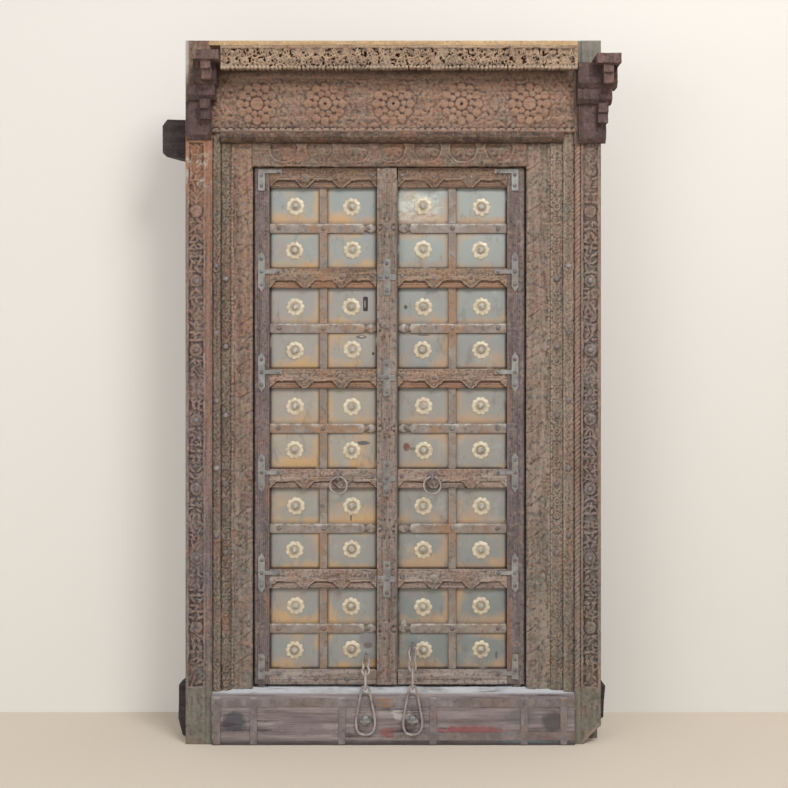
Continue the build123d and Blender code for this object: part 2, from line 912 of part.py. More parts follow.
def loop_outline(inset):
    """The long loop: narrow at its top and round at its wide foot."""
    top = loop_top_width / 2 - inset
    foot = loop_width / 2 - inset
    straight = -loop_length + inset + foot
    points = [(top * 0.55, -inset), (top, -inset - top * 0.5)]
    for step in range(6):
        angle = -math.pi * step / 5
        points.append((foot * math.cos(angle), straight + foot * math.sin(angle)))
    points += [(-top, -inset - top * 0.5), (-top * 0.55, -inset)]
    return points


eye_wire = 6.0
eye_slack = 2.0
ring_eye_drop = 26.0
link_half_width = 18.0
link_length = {"left": 62.0, "right": 84.0}
joining_length = {"left": 64.0, "right": 74.0}
chain_stand_off = 24.0


def eye(x, face, seat, held):
    """An iron eye seen edge on: two legs, one above the other, joined in front of the bar it holds."""
    seat_y, seat_z = seat
    low = seat_z - held / 2 - running_gap
    high = low + held + 2 * running_gap + eye_slack
    front = seat_y - held / 2 - running_gap
    bevel = eye_wire / 2
    outer = [
        (face, high + eye_wire),
        (front - eye_wire + bevel, high + eye_wire),
        (front - eye_wire, high + eye_wire - bevel),
        (front - eye_wire, low - eye_wire + bevel),
        (front - eye_wire + bevel, low - eye_wire),
        (face, low - eye_wire),
    ]
    inner = [(face + 1, high), (front, high), (front, low), (face + 1, low)]
    shape = make_face(Polyline(outer, close=True)) - make_face(Polyline(inner, close=True))
    return extrude(Plane.YZ.offset(x - eye_wire / 2) * shape, eye_wire)


def ring_seat():
    """The middle of the ring's top bar, as depth and height."""
    depth = leaf_face - ring_wire / 2 - 6
    return depth, rail_tops()[3] - ring_eye_drop


def chain_runs(side):
    """Lengths between the bars that the flat link and the joining link hang on."""
    pull = chain_wire + running_gap
    return link_length[side] - chain_wire - pull, joining_length[side] - chain_wire - pull


def loop_seat():
    """The middle of the loop's top bar, which clears the straps on the sill's front."""
    return sill_face - plate_thickness - chain_wire / 2 - chain_clearance, loop_top_height - chain_wire / 2


def chain_lean(side):
    """How far the chain leans forward, from its eye down over the sill's edge."""
    return math.asin((leaf_face - chain_wire / 2 - 2 - loop_seat()[0]) / sum(chain_runs(side)))


def chain_seats(side):
    """The middles of the three top bars, as depth and height, from the eye down."""
    lean = chain_lean(side)
    first, second = chain_runs(side)
    seats = [loop_seat()]
    for run in (second, first):
        depth, height = seats[0]
        seats.insert(0, (depth + run * math.sin(lean), height + run * math.cos(lean)))
    return seats


def eyes(side):
    """The eye that the ring hangs in, on its back plate, and the one that carries the chain."""
    x = ring_places[side]
    height = ring_seat()[1]
    back_plate = block(x - 11, x + 11, leaf_face - 2, leaf_face, height - 10.5, height + 19)
    ring_eye = fuse(back_plate, [eye(x, leaf_face - 1.5, ring_seat(), ring_wire)])
    chain_eye = eye(chain_places[side], sheet_face, chain_seats(side)[0], chain_wire)
    return group([ring_eye, chain_eye])


def ring(side):
    """The pull ring, hanging from its top bar in the eye."""
    depth, height = ring_seat()
    body = bent_ring(round_outline(ring_radius), round_outline(ring_radius - ring_wire), ring_wire)
    return Pos(ring_places[side], depth, height - ring_radius + ring_wire / 2) * body


def hung_link(side, number, length, turn):
    """A long link hung from the middle of its top bar, leaning with the chain."""
    depth, height = chain_seats(side)[number]
    half = length / 2
    body = bent_ring(
        oval_outline(link_half_width, half),
        oval_outline(link_half_width - chain_wire, half - chain_wire),
        chain_wire,
    )
    lean = Rot(-math.degrees(chain_lean(side)), 0, 0)
    return Pos(chain_places[side], depth, height) * lean * Pos(0, 0, chain_wire / 2 - half) * Rot(0, 0, turn) * body


def link(side):
    """The flat link that hangs in the eye."""
    return hung_link(side, 0, link_length[side], 0)


def joining_link(side):
    """The link seen edge on, between the flat link and the loop."""
    return hung_link(side, 1, joining_length[side], 90)


def hasp_loop(side):
    """The long loop that hangs in front of the sill, round its staple."""
    depth, height = chain_seats(side)[2]
    body = bent_ring(loop_outline(0), loop_outline(chain_wire), chain_wire)
    return Pos(chain_places[side], depth, height + chain_wire / 2) * body


def save(name, shape):
    export_step(shape, f"parts/{name}.step")


def main():
    os.makedirs("parts", exist_ok=True)
    save("sill", sill())
    save("ground_beam", ground_beam())
    save("head_beam", head_beam())
    save("lintel", lintel())
    save("ovolo_moulding", ovolo())
    save("frieze", frieze())
    save("cornice_carving", cornice_carving())
    save("cornice_board", cornice_board())
    save("left_bracket", left_bracket())
    save("right_bracket", right_bracket())
    save("rope_moulding", rope_moulding())
    save("sill_irons", sill_irons())
    save("sill_staples", sill_staples())
    save("frame_nails", frame_nails())
    save("left_meeting_stile", meeting_stile())
    for side in sides:
        save(f"{side}_outer_post", outer_post(side))
        save(f"{side}_outer_band", outer_band(side))
        save(f"{side}_middle_band", middle_band(side))
        save(f"{side}_vine_jamb", vine_jamb(side))
        save(f"{side}_rear_post", rear_post(side))
        save(f"{side}_pivot_stile", pivot_stile(side))
        rails = [rail(side, number) for number in range(rail_count)]
        save(f"{side}_top_rail", rails[0])
        save(f"{side}_middle_rails", group(rails[1:-1]))
        save(f"{side}_bottom_rail", rails[-1])
        save(f"{side}_boards", boards(side))
        save(f"{side}_sheets", sheets(side))
        save(f"{side}_bars", bars(side))
        save(f"{side}_straps", straps(side))
        save(f"{side}_bosses", bosses(side))
        save(f"{side}_plates", plates(side))
        save(f"{side}_leaf_nails", leaf_nails(side))
        save(f"{side}_eyes", eyes(side))
        save(f"{side}_ring", ring(side))
        save(f"{side}_link", link(side))
        save(f"{side}_joining_link", joining_link(side))
        save(f"{side}_hasp_loop", hasp_loop(side))


main()
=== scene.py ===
"""Looks of the carved temple door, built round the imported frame.

Lengths are millimetres unless a name says otherwise.
"""
import json
import math

import bmesh
import bpy
import numpy as np
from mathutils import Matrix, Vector


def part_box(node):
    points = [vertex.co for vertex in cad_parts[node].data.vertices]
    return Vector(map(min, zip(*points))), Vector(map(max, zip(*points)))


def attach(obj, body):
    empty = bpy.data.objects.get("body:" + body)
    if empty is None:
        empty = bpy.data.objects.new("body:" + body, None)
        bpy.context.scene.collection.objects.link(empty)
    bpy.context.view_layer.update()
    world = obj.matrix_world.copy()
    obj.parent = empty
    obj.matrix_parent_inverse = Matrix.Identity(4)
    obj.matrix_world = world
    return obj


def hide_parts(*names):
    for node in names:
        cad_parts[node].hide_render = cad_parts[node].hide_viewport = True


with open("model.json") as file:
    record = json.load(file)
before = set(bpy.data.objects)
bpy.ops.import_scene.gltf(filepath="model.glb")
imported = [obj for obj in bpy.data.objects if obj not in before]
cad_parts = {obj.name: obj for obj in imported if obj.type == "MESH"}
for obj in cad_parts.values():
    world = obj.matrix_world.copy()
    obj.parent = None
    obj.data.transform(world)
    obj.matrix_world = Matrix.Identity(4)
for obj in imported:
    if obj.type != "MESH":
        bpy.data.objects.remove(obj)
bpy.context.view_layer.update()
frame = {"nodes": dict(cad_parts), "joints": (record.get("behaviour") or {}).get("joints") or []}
MM = 0.001
OVERALL_HEIGHT = 2.3  # metres
SIDES = ("left", "right")
OUTWARD = {"left": -1, "right": 1}
rng = np.random.default_rng(7)


def node_box(node):
    """A CAD node's low and high corners in millimetres."""
    low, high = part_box(node)
    return [v / MM for v in low], [v / MM for v in high]


def linear(red, green, blue):
    """A colour written as sRGB bytes, for a shader socket."""
    channels = []
    for value in (red, green, blue):
        share = value / 255
        channels.append(share / 12.92 if share <= 0.04045 else ((share + 0.055) / 1.055) ** 2.4)
    return (*channels, 1.0)


# Materials
class Nodes:
    """A short way to build one material's node tree."""

    def __init__(self, name):
        self.material = bpy.data.materials.new(name)
        self.material.use_nodes = True
        self.tree = self.material.node_tree
        self.shader = self.tree.nodes["Principled BSDF"]
        self.place = self.add("ShaderNodeTexCoord").outputs["Object"]

    def add(self, kind, **values):
        node = self.tree.nodes.new(kind)
        for key, value in values.items():
            setattr(node, key, value)
        return node

    def link(self, source, target):
        self.tree.links.new(source, target)

    def noise(self, scale, detail=6.0, rough=0.6, stretch=(1, 1, 1), shift=0.0, distortion=0.0):
        mapping = self.add("ShaderNodeMapping")
        mapping.inputs["Scale"].default_value = stretch
        mapping.inputs["Location"].default_value = (shift, shift * 0.7, shift * 1.3)
        self.link(self.place, mapping.inputs["Vector"])
        noise = self.add("ShaderNodeTexNoise")
        noise.inputs["Scale"].default_value = scale
        noise.inputs["Detail"].default_value = detail
        noise.inputs["Roughness"].default_value = rough
        noise.inputs["Distortion"].default_value = distortion
        self.link(mapping.outputs[0], noise.inputs["Vector"])
        return noise.outputs["Fac"]

    def ramp(self, source, stops):
        """Colour stops as (place, colour), or number stops as (place, number)."""
        ramp = self.add("ShaderNodeValToRGB")
        elements = ramp.color_ramp.elements
        while len(elements) < len(stops):
            elements.new(0.5)
        for element, (place, colour) in zip(elements, sorted(stops, key=lambda stop: stop[0])):
            element.position = place
            element.color = colour if isinstance(colour, tuple) else (colour, colour, colour, 1.0)
        self.link(source, ramp.inputs["Fac"])
        return ramp.outputs["Color"]

    def mix(self, share, first, second, blend="MIX"):
        mix = self.add("ShaderNodeMix", data_type="RGBA", blend_type=blend)
        for value, socket in ((share, mix.inputs["Factor"]), (first, mix.inputs["A"]),
                              (second, mix.inputs["B"])):
            if isinstance(value, (tuple, float, int)):
                socket.default_value = value
            else:
                self.link(value, socket)
        return mix.outputs["Result"]

    def math(self, operation, first, second=0.0):
        node = self.add("ShaderNodeMath", operation=operation)
        for value, socket in ((first, node.inputs[0]), (second, node.inputs[1])):
            if isinstance(value, (float, int)):
                socket.default_value = value
            else:
                self.link(value, socket)
        return node.outputs[0]

    def axes(self):
        split = self.add("ShaderNodeSeparateXYZ")
        self.link(self.place, split.inputs[0])
        return split.outputs

    def wander(self, scale, detail, reach, rough=0.6, shift=0.0):
        """Noise of about half a reach to each side of zero."""
        noise = self.noise(scale, detail, rough, shift=shift)
        return self.math("MULTIPLY", self.math("SUBTRACT", noise, 0.5), reach)

    def by_height(self, stops, scale, detail, reach, shift):
        """Colours by height above the ground, as a share of the overall height, with a border that wanders."""
        share = self.math("DIVIDE", self.axes()["Z"], OVERALL_HEIGHT)
        share = self.math("ADD", share, self.wander(scale, detail, reach, shift=shift))
        return self.ramp(share, [(place, linear(*shade)) for place, shade in stops])

    def attribute(self, name):
        """A value kept on the mesh, or 0 where it has none: the grime and painted shade of the hollows, the
        wear and painted highlight of the high places, or the share of a paint.
        """
        return self.add("ShaderNodeAttribute", attribute_name=name).outputs["Fac"]

    def patch(self, colour, shade, stops, *noise, **values):
        """Lays a shade over a colour in patches of noise."""
        return self.mix(self.ramp(self.noise(*noise, **values), stops), colour, linear(*shade))

    def paint(self, colour, shade, name, share):
        """Lays a shade over a colour by a value kept on the mesh, times a share."""
        return self.mix(self.math("MULTIPLY", self.attribute(name), share), colour, linear(*shade))

    def finish(self, colour, rough, bump=None, metallic=0.0, specular=0.35):
        self.link(colour, self.shader.inputs["Base Color"])
        if isinstance(rough, float):
            self.shader.inputs["Roughness"].default_value = rough
        else:
            self.link(rough, self.shader.inputs["Roughness"])
        self.shader.inputs["Metallic"].default_value = metallic
        self.shader.inputs["Specular IOR Level"].default_value = specular
        if bump:
            source, strength, distance = bump
            node = self.add("ShaderNodeBump")
            node.inputs["Strength"].default_value = strength
            node.inputs["Distance"].default_value = distance * MM
            self.link(source, node.inputs["Height"])
            self.link(node.outputs[0], self.shader.inputs["Normal"])
        return self.material


GRAIN_UP = (1.0, 1.0, 0.06)
GRAIN_ACROSS = (0.06, 1.0, 1.0)
# Darkens the grain, patches of grime and the hollows, where it also stands for painted shade.
GRIME_AND_SHADE = (56, 47, 46)
# Lightens worn patches and the high places, where it also stands for painted highlight.
WORN_AND_HIGHLIGHT = (186, 162, 146)
RED = (158, 108, 84)
GREEN = (118, 124, 110)
SPECKLES = ((158, 106, 92), (120, 132, 128), (172, 150, 118))
WOOD_PAINTS = {"warm": (164, 112, 78), "pale": (186, 180, 168), "dark": (44, 37, 37), "grey": (128, 126, 114)}
IRON_PAINTS = {"pale": (208, 206, 200), "dark": (66, 60, 60), "warm": (170, 118, 74)}
SHEET_LIGHT = (172, 176, 172)
SHEET_STREAK = (112, 108, 104)
SHEET_EDGE_GRIME_AND_SHADE = (84, 76, 72)
SHEET_SMEAR = (214, 216, 208)


def wood(name, stops, grain=GRAIN_UP, shift=0.0, red=0.5, green=0.5, worn=WORN_AND_HIGHLIGHT, worn_share=0.5, grime_and_shade=GRIME_AND_SHADE,
         grime_and_shade_share=0.85, speckle_share=0.34):
    """Old timber: colour by height, patches, grain, grime and painted shade in the hollows, and wear and
    painted highlight on the high places.
    """
    n = Nodes(name)
    colour = n.by_height(stops, 3.0, 3.0, 0.16, shift)
    colour = n.patch(colour, RED, [(0.5, 0.0), (0.66, red)], 11.0, 5.0, 0.62, shift=shift + 3)
    colour = n.patch(colour, GREEN, [(0.5, 0.0), (0.66, green)], 13.0, 5.0, 0.62, shift=shift + 31)
    fibre = n.noise(60.0, 8.0, 0.7, stretch=grain, shift=shift)
    colour = n.mix(n.ramp(fibre, [(0.36, 0.6), (0.58, 0.0)]), colour, linear(*grime_and_shade))
    dots = [(0.53, 0.0), (0.64, speckle_share)]
    for number, shade in enumerate(SPECKLES):
        colour = n.patch(colour, shade, dots, 88.0, 3.0, 0.7, shift=shift + 40 + 7 * number)
    colour = n.patch(colour, worn, [(0.54, 0.0), (0.7, worn_share)], 46.0, 5.0, 0.75, shift=shift + 8)
    colour = n.patch(colour, grime_and_shade, [(0.36, 0.6), (0.47, 0.0)], 95.0, 3.0, 0.7, shift=shift + 15)
    broken = n.ramp(n.noise(24.0, 5.0, 0.7, shift=shift + 19), [(0.3, 0.55), (0.6, 1.0)])
    for paint, shade in WOOD_PAINTS.items():
        colour = n.paint(colour, shade, paint, broken)
    # The hollows of the carving darkened: partly grime, partly painted shade in the recesses.
    colour = n.paint(colour, grime_and_shade, "hollow", grime_and_shade_share)
    # The high places of the carving lightened in the worn colour: partly wear, partly painted highlight on the
    # raised edges.
    rubbed = n.ramp(n.noise(16.0, 4.0, shift=shift), [(0.35, 0.1), (0.65, 0.6)])
    colour = n.paint(colour, worn, "high", rubbed)
    rough = n.ramp(fibre, [(0.3, 0.9), (0.7, 0.66)])
    grit = n.math("ADD", n.math("MULTIPLY", fibre, 0.6), n.math("MULTIPLY", n.noise(150.0, 5.0, 0.7), 0.5))
    return n.finish(colour, rough, (grit, 0.7, 2.0))


def iron(name, base, light, dark=(70, 62, 62), rust=(140, 104, 78), rust_share=0.5, metallic=0.2, shift=0.0):
    """Wrought iron: rubbed light in places and rusty in others."""
    n = Nodes(name)
    colour = n.patch(linear(*base), light, [(0.42, 0.0), (0.66, 0.9)], 22.0, 5.0, 0.65, shift=shift)
    colour = n.patch(colour, rust, [(0.5, 0.0), (0.62, rust_share)], 9.0, 5.0, 0.65, shift=shift + 5)
    colour = n.patch(colour, dark, [(0.33, 0.5), (0.46, 0.0)], 60.0, 4.0, 0.75, shift=shift + 9)
    broken = n.ramp(n.noise(40.0, 5.0, 0.7, shift=shift + 19), [(0.42, 0.1), (0.58, 1.0)])
    for paint, shade in IRON_PAINTS.items():
        colour = n.paint(colour, shade, paint, broken)
    rough = n.ramp(n.noise(50.0, 4.0), [(0.3, 0.46), (0.7, 0.72)])
    return n.finish(colour, rough, (n.noise(110.0, 5.0, 0.7), 0.45, 1.0), metallic=metallic, specular=0.5)


def spot(n, axes, x, z, half_x, half_z, power=2.0, ragged=0.5):
    """One inside a rounded place on X and Z in millimetres, with ragged edges, and zero outside."""
    reach = n.wander(34.0, 4.0, 2.0 * ragged, 0.7, shift=x % 17)
    for axis, centre, half in (("X", x, half_x), ("Z", z, half_z)):
        away = n.math("DIVIDE", n.math("SUBTRACT", axes[axis], centre * MM), half * MM)
        reach = n.math("ADD", reach, n.math("POWER", n.math("ABSOLUTE", away), power))
    return n.ramp(reach, [(0.5, 1.0), (1.0, 0.0)])


def sheet_paint(name, ground, stain, pink, spots, shift=0.0):
    """Grey paint on sheet iron, with ochre and pinkish stains towards the bars, and grime and painted shade
    along the edges of each field.
    """
    n = Nodes(name)
    colour = n.by_height(ground, 5.0, 4.0, 0.12, shift)
    cloud = n.noise(7.0, 6.0, 0.6, shift=shift + 2, distortion=0.5)
    reach = n.math("ADD", cloud, n.math("MULTIPLY", n.attribute("warm"), 0.24))
    colour = n.mix(n.ramp(reach, [(0.56, 0.0), (0.74, 0.85)]), colour, linear(*stain))
    colour = n.patch(colour, pink, [(0.54, 0.0), (0.68, 0.5)], 12.0, 5.0, 0.6, shift=shift + 12)
    colour = n.patch(colour, SHEET_LIGHT, [(0.55, 0.0), (0.72, 0.5)], 17.0, 6.0, 0.7, shift=shift + 7)
    streak = n.noise(26.0, 6.0, 0.75, stretch=(1, 1, 0.4), shift=shift + 4)
    colour = n.mix(n.ramp(streak, [(0.32, 0.45), (0.45, 0.0)]), colour, linear(*SHEET_STREAK))
    # The edges of each field darkened: grime, and painted shade where the sheet meets the rails, the bar and
    # the strap.
    colour = n.paint(colour, SHEET_EDGE_GRIME_AND_SHADE, "hollow", 0.7)
    smear = n.ramp(n.noise(20.0, 6.0, 0.75, stretch=(0.5, 1, 1), shift=shift + 21), [(0.44, 0.0), (0.56, 1.0)])
    colour = n.paint(colour, SHEET_SMEAR, "pale", smear)
    axes = n.axes()
    for *place, shade in spots:
        colour = n.mix(spot(n, axes, *place), colour, linear(*shade))
    rough = n.ramp(n.noise(40.0, 4.0), [(0.3, 0.5), (0.7, 0.7)])
    return n.finish(colour, rough, (n.noise(40.0, 7.0, 0.7), 0.3, 1.4), specular=0.4)


def brass(name):
    """Pale stamped brass, brown in its hollows and darkened by painted shade in the seams between its petals,
    with a grey iron dome in the middle.
    """
    n = Nodes(name)
    colour = n.patch(linear(228, 218, 194), (184, 166, 138), [(0.36, 0.7), (0.56, 0.0)], 55.0, 5.0, 0.7)
    # The brown ring round the dome is the brass's own colour; the darkening in the seams between the petals is
    # painted shade.
    colour = n.mix(n.attribute("hollow"), colour, linear(124, 102, 82))
    grey = n.patch(linear(150, 146, 138), (204, 200, 190), [(0.35, 0.0), (0.65, 1.0)], 90.0, 4.0)
    colour = n.mix(n.attribute("centre"), colour, grey)
    rough = n.ramp(n.noise(80.0, 4.0), [(0.3, 0.38), (0.7, 0.6)])
    return n.finish(colour, rough, (n.noise(150.0, 3.0), 0.3, 0.8), metallic=0.1, specular=0.6)


def even(shade):
    return [(0.0, shade), (1.0, shade)]


POST_LEFT = [(0.0, (122, 118, 110)), (0.08, (122, 117, 114)), (0.2, (122, 113, 116)), (0.45, (134, 118, 119)),
             (0.7, (142, 114, 104)), 
             (0.86, (152, 114, 96)), (0.95, (134, 104, 90))]
POST_RIGHT = [(0.0, (128, 120, 110)), (0.3, (132, 122, 121)), (0.6, (138, 123, 119)), (0.85, (140, 118, 106)),
              (0.95, (150, 146, 134))]
BAND_LEFT = [(0.0, (124, 114, 102)), (0.35, (116, 102, 94)), (0.65, (118, 101, 88)), (0.9, (112, 102, 84))]
BAND_RIGHT = [(0.0, (136, 126, 116)), (0.35, (148, 134, 122)), (0.65, (152, 134, 119)), (0.9, (148, 128, 110))]
JAMB_LEFT = [(0.0, (132, 126, 118)), (0.3, (140, 126, 118)), (0.6, (154, 127, 112)), (0.9, (156, 124, 104))]
JAMB_RIGHT = [(0.0, (148, 138, 128)), (0.3, (156, 142, 132)), (0.6, (154, 136, 124)), (0.9, (148, 124, 108))]
STILE = [(0.0, (122, 113, 113)), (0.4, (122, 112, 115)), (0.75, (124, 112, 111)), (0.9, (112, 98, 93))]
RAIL = [(0.0, (170, 160, 154)), (0.35, (178, 164, 156)), (0.6, (170, 146, 124)), (0.8, (160, 132, 110)),
        (0.9, (146, 118, 98))]
MEETING = [(0.0, (148, 136, 130)), (0.4, (154, 140, 134)), (0.8, (150, 134, 122))]

materials = {
    "post_left": wood("post_left", POST_LEFT, shift=1, red=0.45, green=0.35),
    "post_right": wood("post_right", POST_RIGHT, shift=2, red=0.35, green=0.5),
    "band_left": wood("band_left", BAND_LEFT, shift=3, red=0.45, green=0.6),
    "band_right": wood("band_right", BAND_RIGHT, shift=23, red=0.4, green=0.5),
    "jamb_left": wood("jamb_left", JAMB_LEFT, shift=4, green=0.35, grime_and_shade_share=0.7),
    "jamb_right": wood("jamb_right", JAMB_RIGHT, shift=24, red=0.35, green=0.5, grime_and_shade_share=0.7),
    "head": wood("head", even((134, 108, 92)), GRAIN_ACROSS, shift=5),
    "frieze": wood("frieze", even((160, 126, 106)), GRAIN_ACROSS, shift=6, green=0.3, red=0.35),
    "ovolo": wood("ovolo", even((104, 82, 70)), GRAIN_ACROSS, shift=7, worn_share=0.3, green=0.2),
    "cornice": wood("cornice", even((182, 152, 126)), GRAIN_ACROSS, shift=8, worn=(214, 188, 160), green=0.3,
                    red=0.35),
    "raw": wood("raw", even((208, 176, 132)), GRAIN_ACROSS, shift=9, grime_and_shade=(150, 118, 84), worn=(230, 206, 164),
                red=0.25, green=0.0),
    "beam": wood("beam", even((72, 64, 65)), GRAIN_ACROSS, shift=10, red=0.1, green=0.1, worn=(104, 92, 88),
                 grime_and_shade=(40, 35, 36), 
                 speckle_share=0.0),
    "rear": wood("rear", even((98, 84, 76)), shift=11),
    "bracket": wood("bracket", even((112, 88, 84)), shift=12, red=0.25, green=0.05, worn=(168, 134, 124),
                    grime_and_shade=(52, 40, 42), 
                    speckle_share=0.12),
    "stile": wood("stile", STILE, shift=13, red=0.25, green=0.05, speckle_share=0.18),
    "rail": wood("rail", RAIL, GRAIN_ACROSS, shift=14, red=0.3, green=0.25),
    "meeting": wood("meeting", MEETING, shift=15, red=0.35, green=0.35),
    "boards": wood("boards", even((112, 92, 80)), shift=16),
    "iron": iron("iron", (136, 134, 132), (168, 168, 162), rust_share=0.35),
    "iron_dark": iron("iron_dark", (122, 112, 112), (152, 144, 142), shift=4, rust_share=0.3),
    "nail": iron("nail", (122, 112, 112), (160, 154, 152), rust_share=0.2, metallic=0.35, shift=8),
    "strap": iron("strap", (138, 125, 116), (160, 150, 142), rust=(160, 120, 86), rust_share=0.65, metallic=0.1,
                  shift=12),
    "chain": iron("chain", (160, 148, 145), (198, 190, 186), rust=(148, 122, 108), rust_share=0.4, shift=16),
    "brass": brass("brass"),
}
SHEET_GROUND = {
    "left": [(0.16, (150, 152, 148)), (0.3, (153, 152, 147)), (0.447, (168, 160, 148)), (0.59, (160, 156, 150)),
             (0.735, (154, 160, 158))],
    "right": [(0.16, (132, 138, 136)), (0.3, (146, 147, 143)), (0.447, (158, 154, 147)),
              (0.59, (148, 152, 149)), (0.735, (162, 168, 164))],
}
SHEET_SPOTS = {
    "left": (
        (-91.8, 1440.7, 8.5, 25, 8, 0.1, (58, 50, 50)),
        (-93.5, 1440.7, 2.4, 15, 2, 0.2, (150, 142, 132)),
        (-105.7, 1331.5, 21, 6.5, 2, 0.4, (112, 98, 92)),
        (-104.0, 1333.0, 9, 2.6, 2, 0.2, (186, 178, 168)),
        (-66.3, 1276.6, 5, 5.5, 2, 0.2, (66, 58, 58)),
        (-100.0, 981.0, 27, 8, 2, 0.5, (104, 100, 100)),
        (-139.7, 734.9, 3, 15, 2, 0.6, (100, 88, 80)),
        (-88.0, 336.0, 30, 34, 2, 0.7, (136, 134, 136)),
        (-84.0, 312.0, 17, 12, 2, 0.9, (118, 106, 104)),
    ),
    "right": (
        (41.2, 1430.7, 7, 8, 2, 0.6, (92, 80, 74)),
        (101.7, 1338.0, 24, 3.4, 2, 0.5, (108, 98, 94)),
        (43.8, 967.7, 13, 16, 2, 0.8, (124, 84, 72)),
        (62.0, 962.0, 22, 5, 2, 0.6, (128, 116, 110)),
        (340.8, 279.9, 5, 14, 2, 0.7, (104, 98, 96)),
        (34.0, 372.0, 10, 30, 2, 0.9, (168, 176, 174)),
    ),
}
SHEET_STAINS = {"left": ((202, 164, 116), (168, 148, 140), 1), "right": ((188, 156, 124), (158, 142, 136), 6)}
for side, (stain, pink, shift) in SHEET_STAINS.items():
    name = f"sheet_{side}"
    materials[name] = sheet_paint(name, SHEET_GROUND[side], stain, pink, SHEET_SPOTS[side], shift)


# Mesh building
def smooth_step(low, high, value):
    share = np.clip((value - low) / (high - low), 0.0, 1.0)
    return share * share * (3 - 2 * share)


def blurred(field, reach):
    """A box blur run twice each way, which stays inside the field's edges."""
    result = field.astype(float)
    for axis in (0, 1, 0, 1):
        padded = np.pad(result, [(reach, reach) if a == axis else (0, 0) for a in (0, 1)], mode="edge")
        sums = np.cumsum(padded, axis=axis)
        zero = np.zeros_like(np.take(sums, [0], axis=axis))
        sums = np.concatenate([zero, sums], axis=axis)
        size = result.shape[axis]
        span = 2 * reach + 1
        high = np.take(sums, range(span, span + size), axis=axis)
        low = np.take(sums, range(0, size), axis=axis)
        result = (high - low) / span
    return result


NOISE_CELLS = 64
OUTSIDE = -99.0  # a height that no form reaches


def value_noise(xs, zs, scale, seed):
    """Smooth noise of about -1 to 1 over two coordinate arrays."""
    source = np.random.default_rng(seed).uniform(-1, 1, (NOISE_CELLS, NOISE_CELLS))
    u, v = xs / scale, zs / scale
    i, j = np.floor(u).astype(int), np.floor(v).astype(int)
    a, b = u - i, v - j
    a, b = a * a * (3 - 2 * a), b * b * (3 - 2 * b)
    i, j, after_i, after_j = (k % NOISE_CELLS for k in (i, j, i + 1, j + 1))
    low = source[i, j] * (1 - a) + source[after_i, j] * a
    high = source[i, after_j] * (1 - a) + source[after_i, after_j] * a
    return low * (1 - b) + high * b


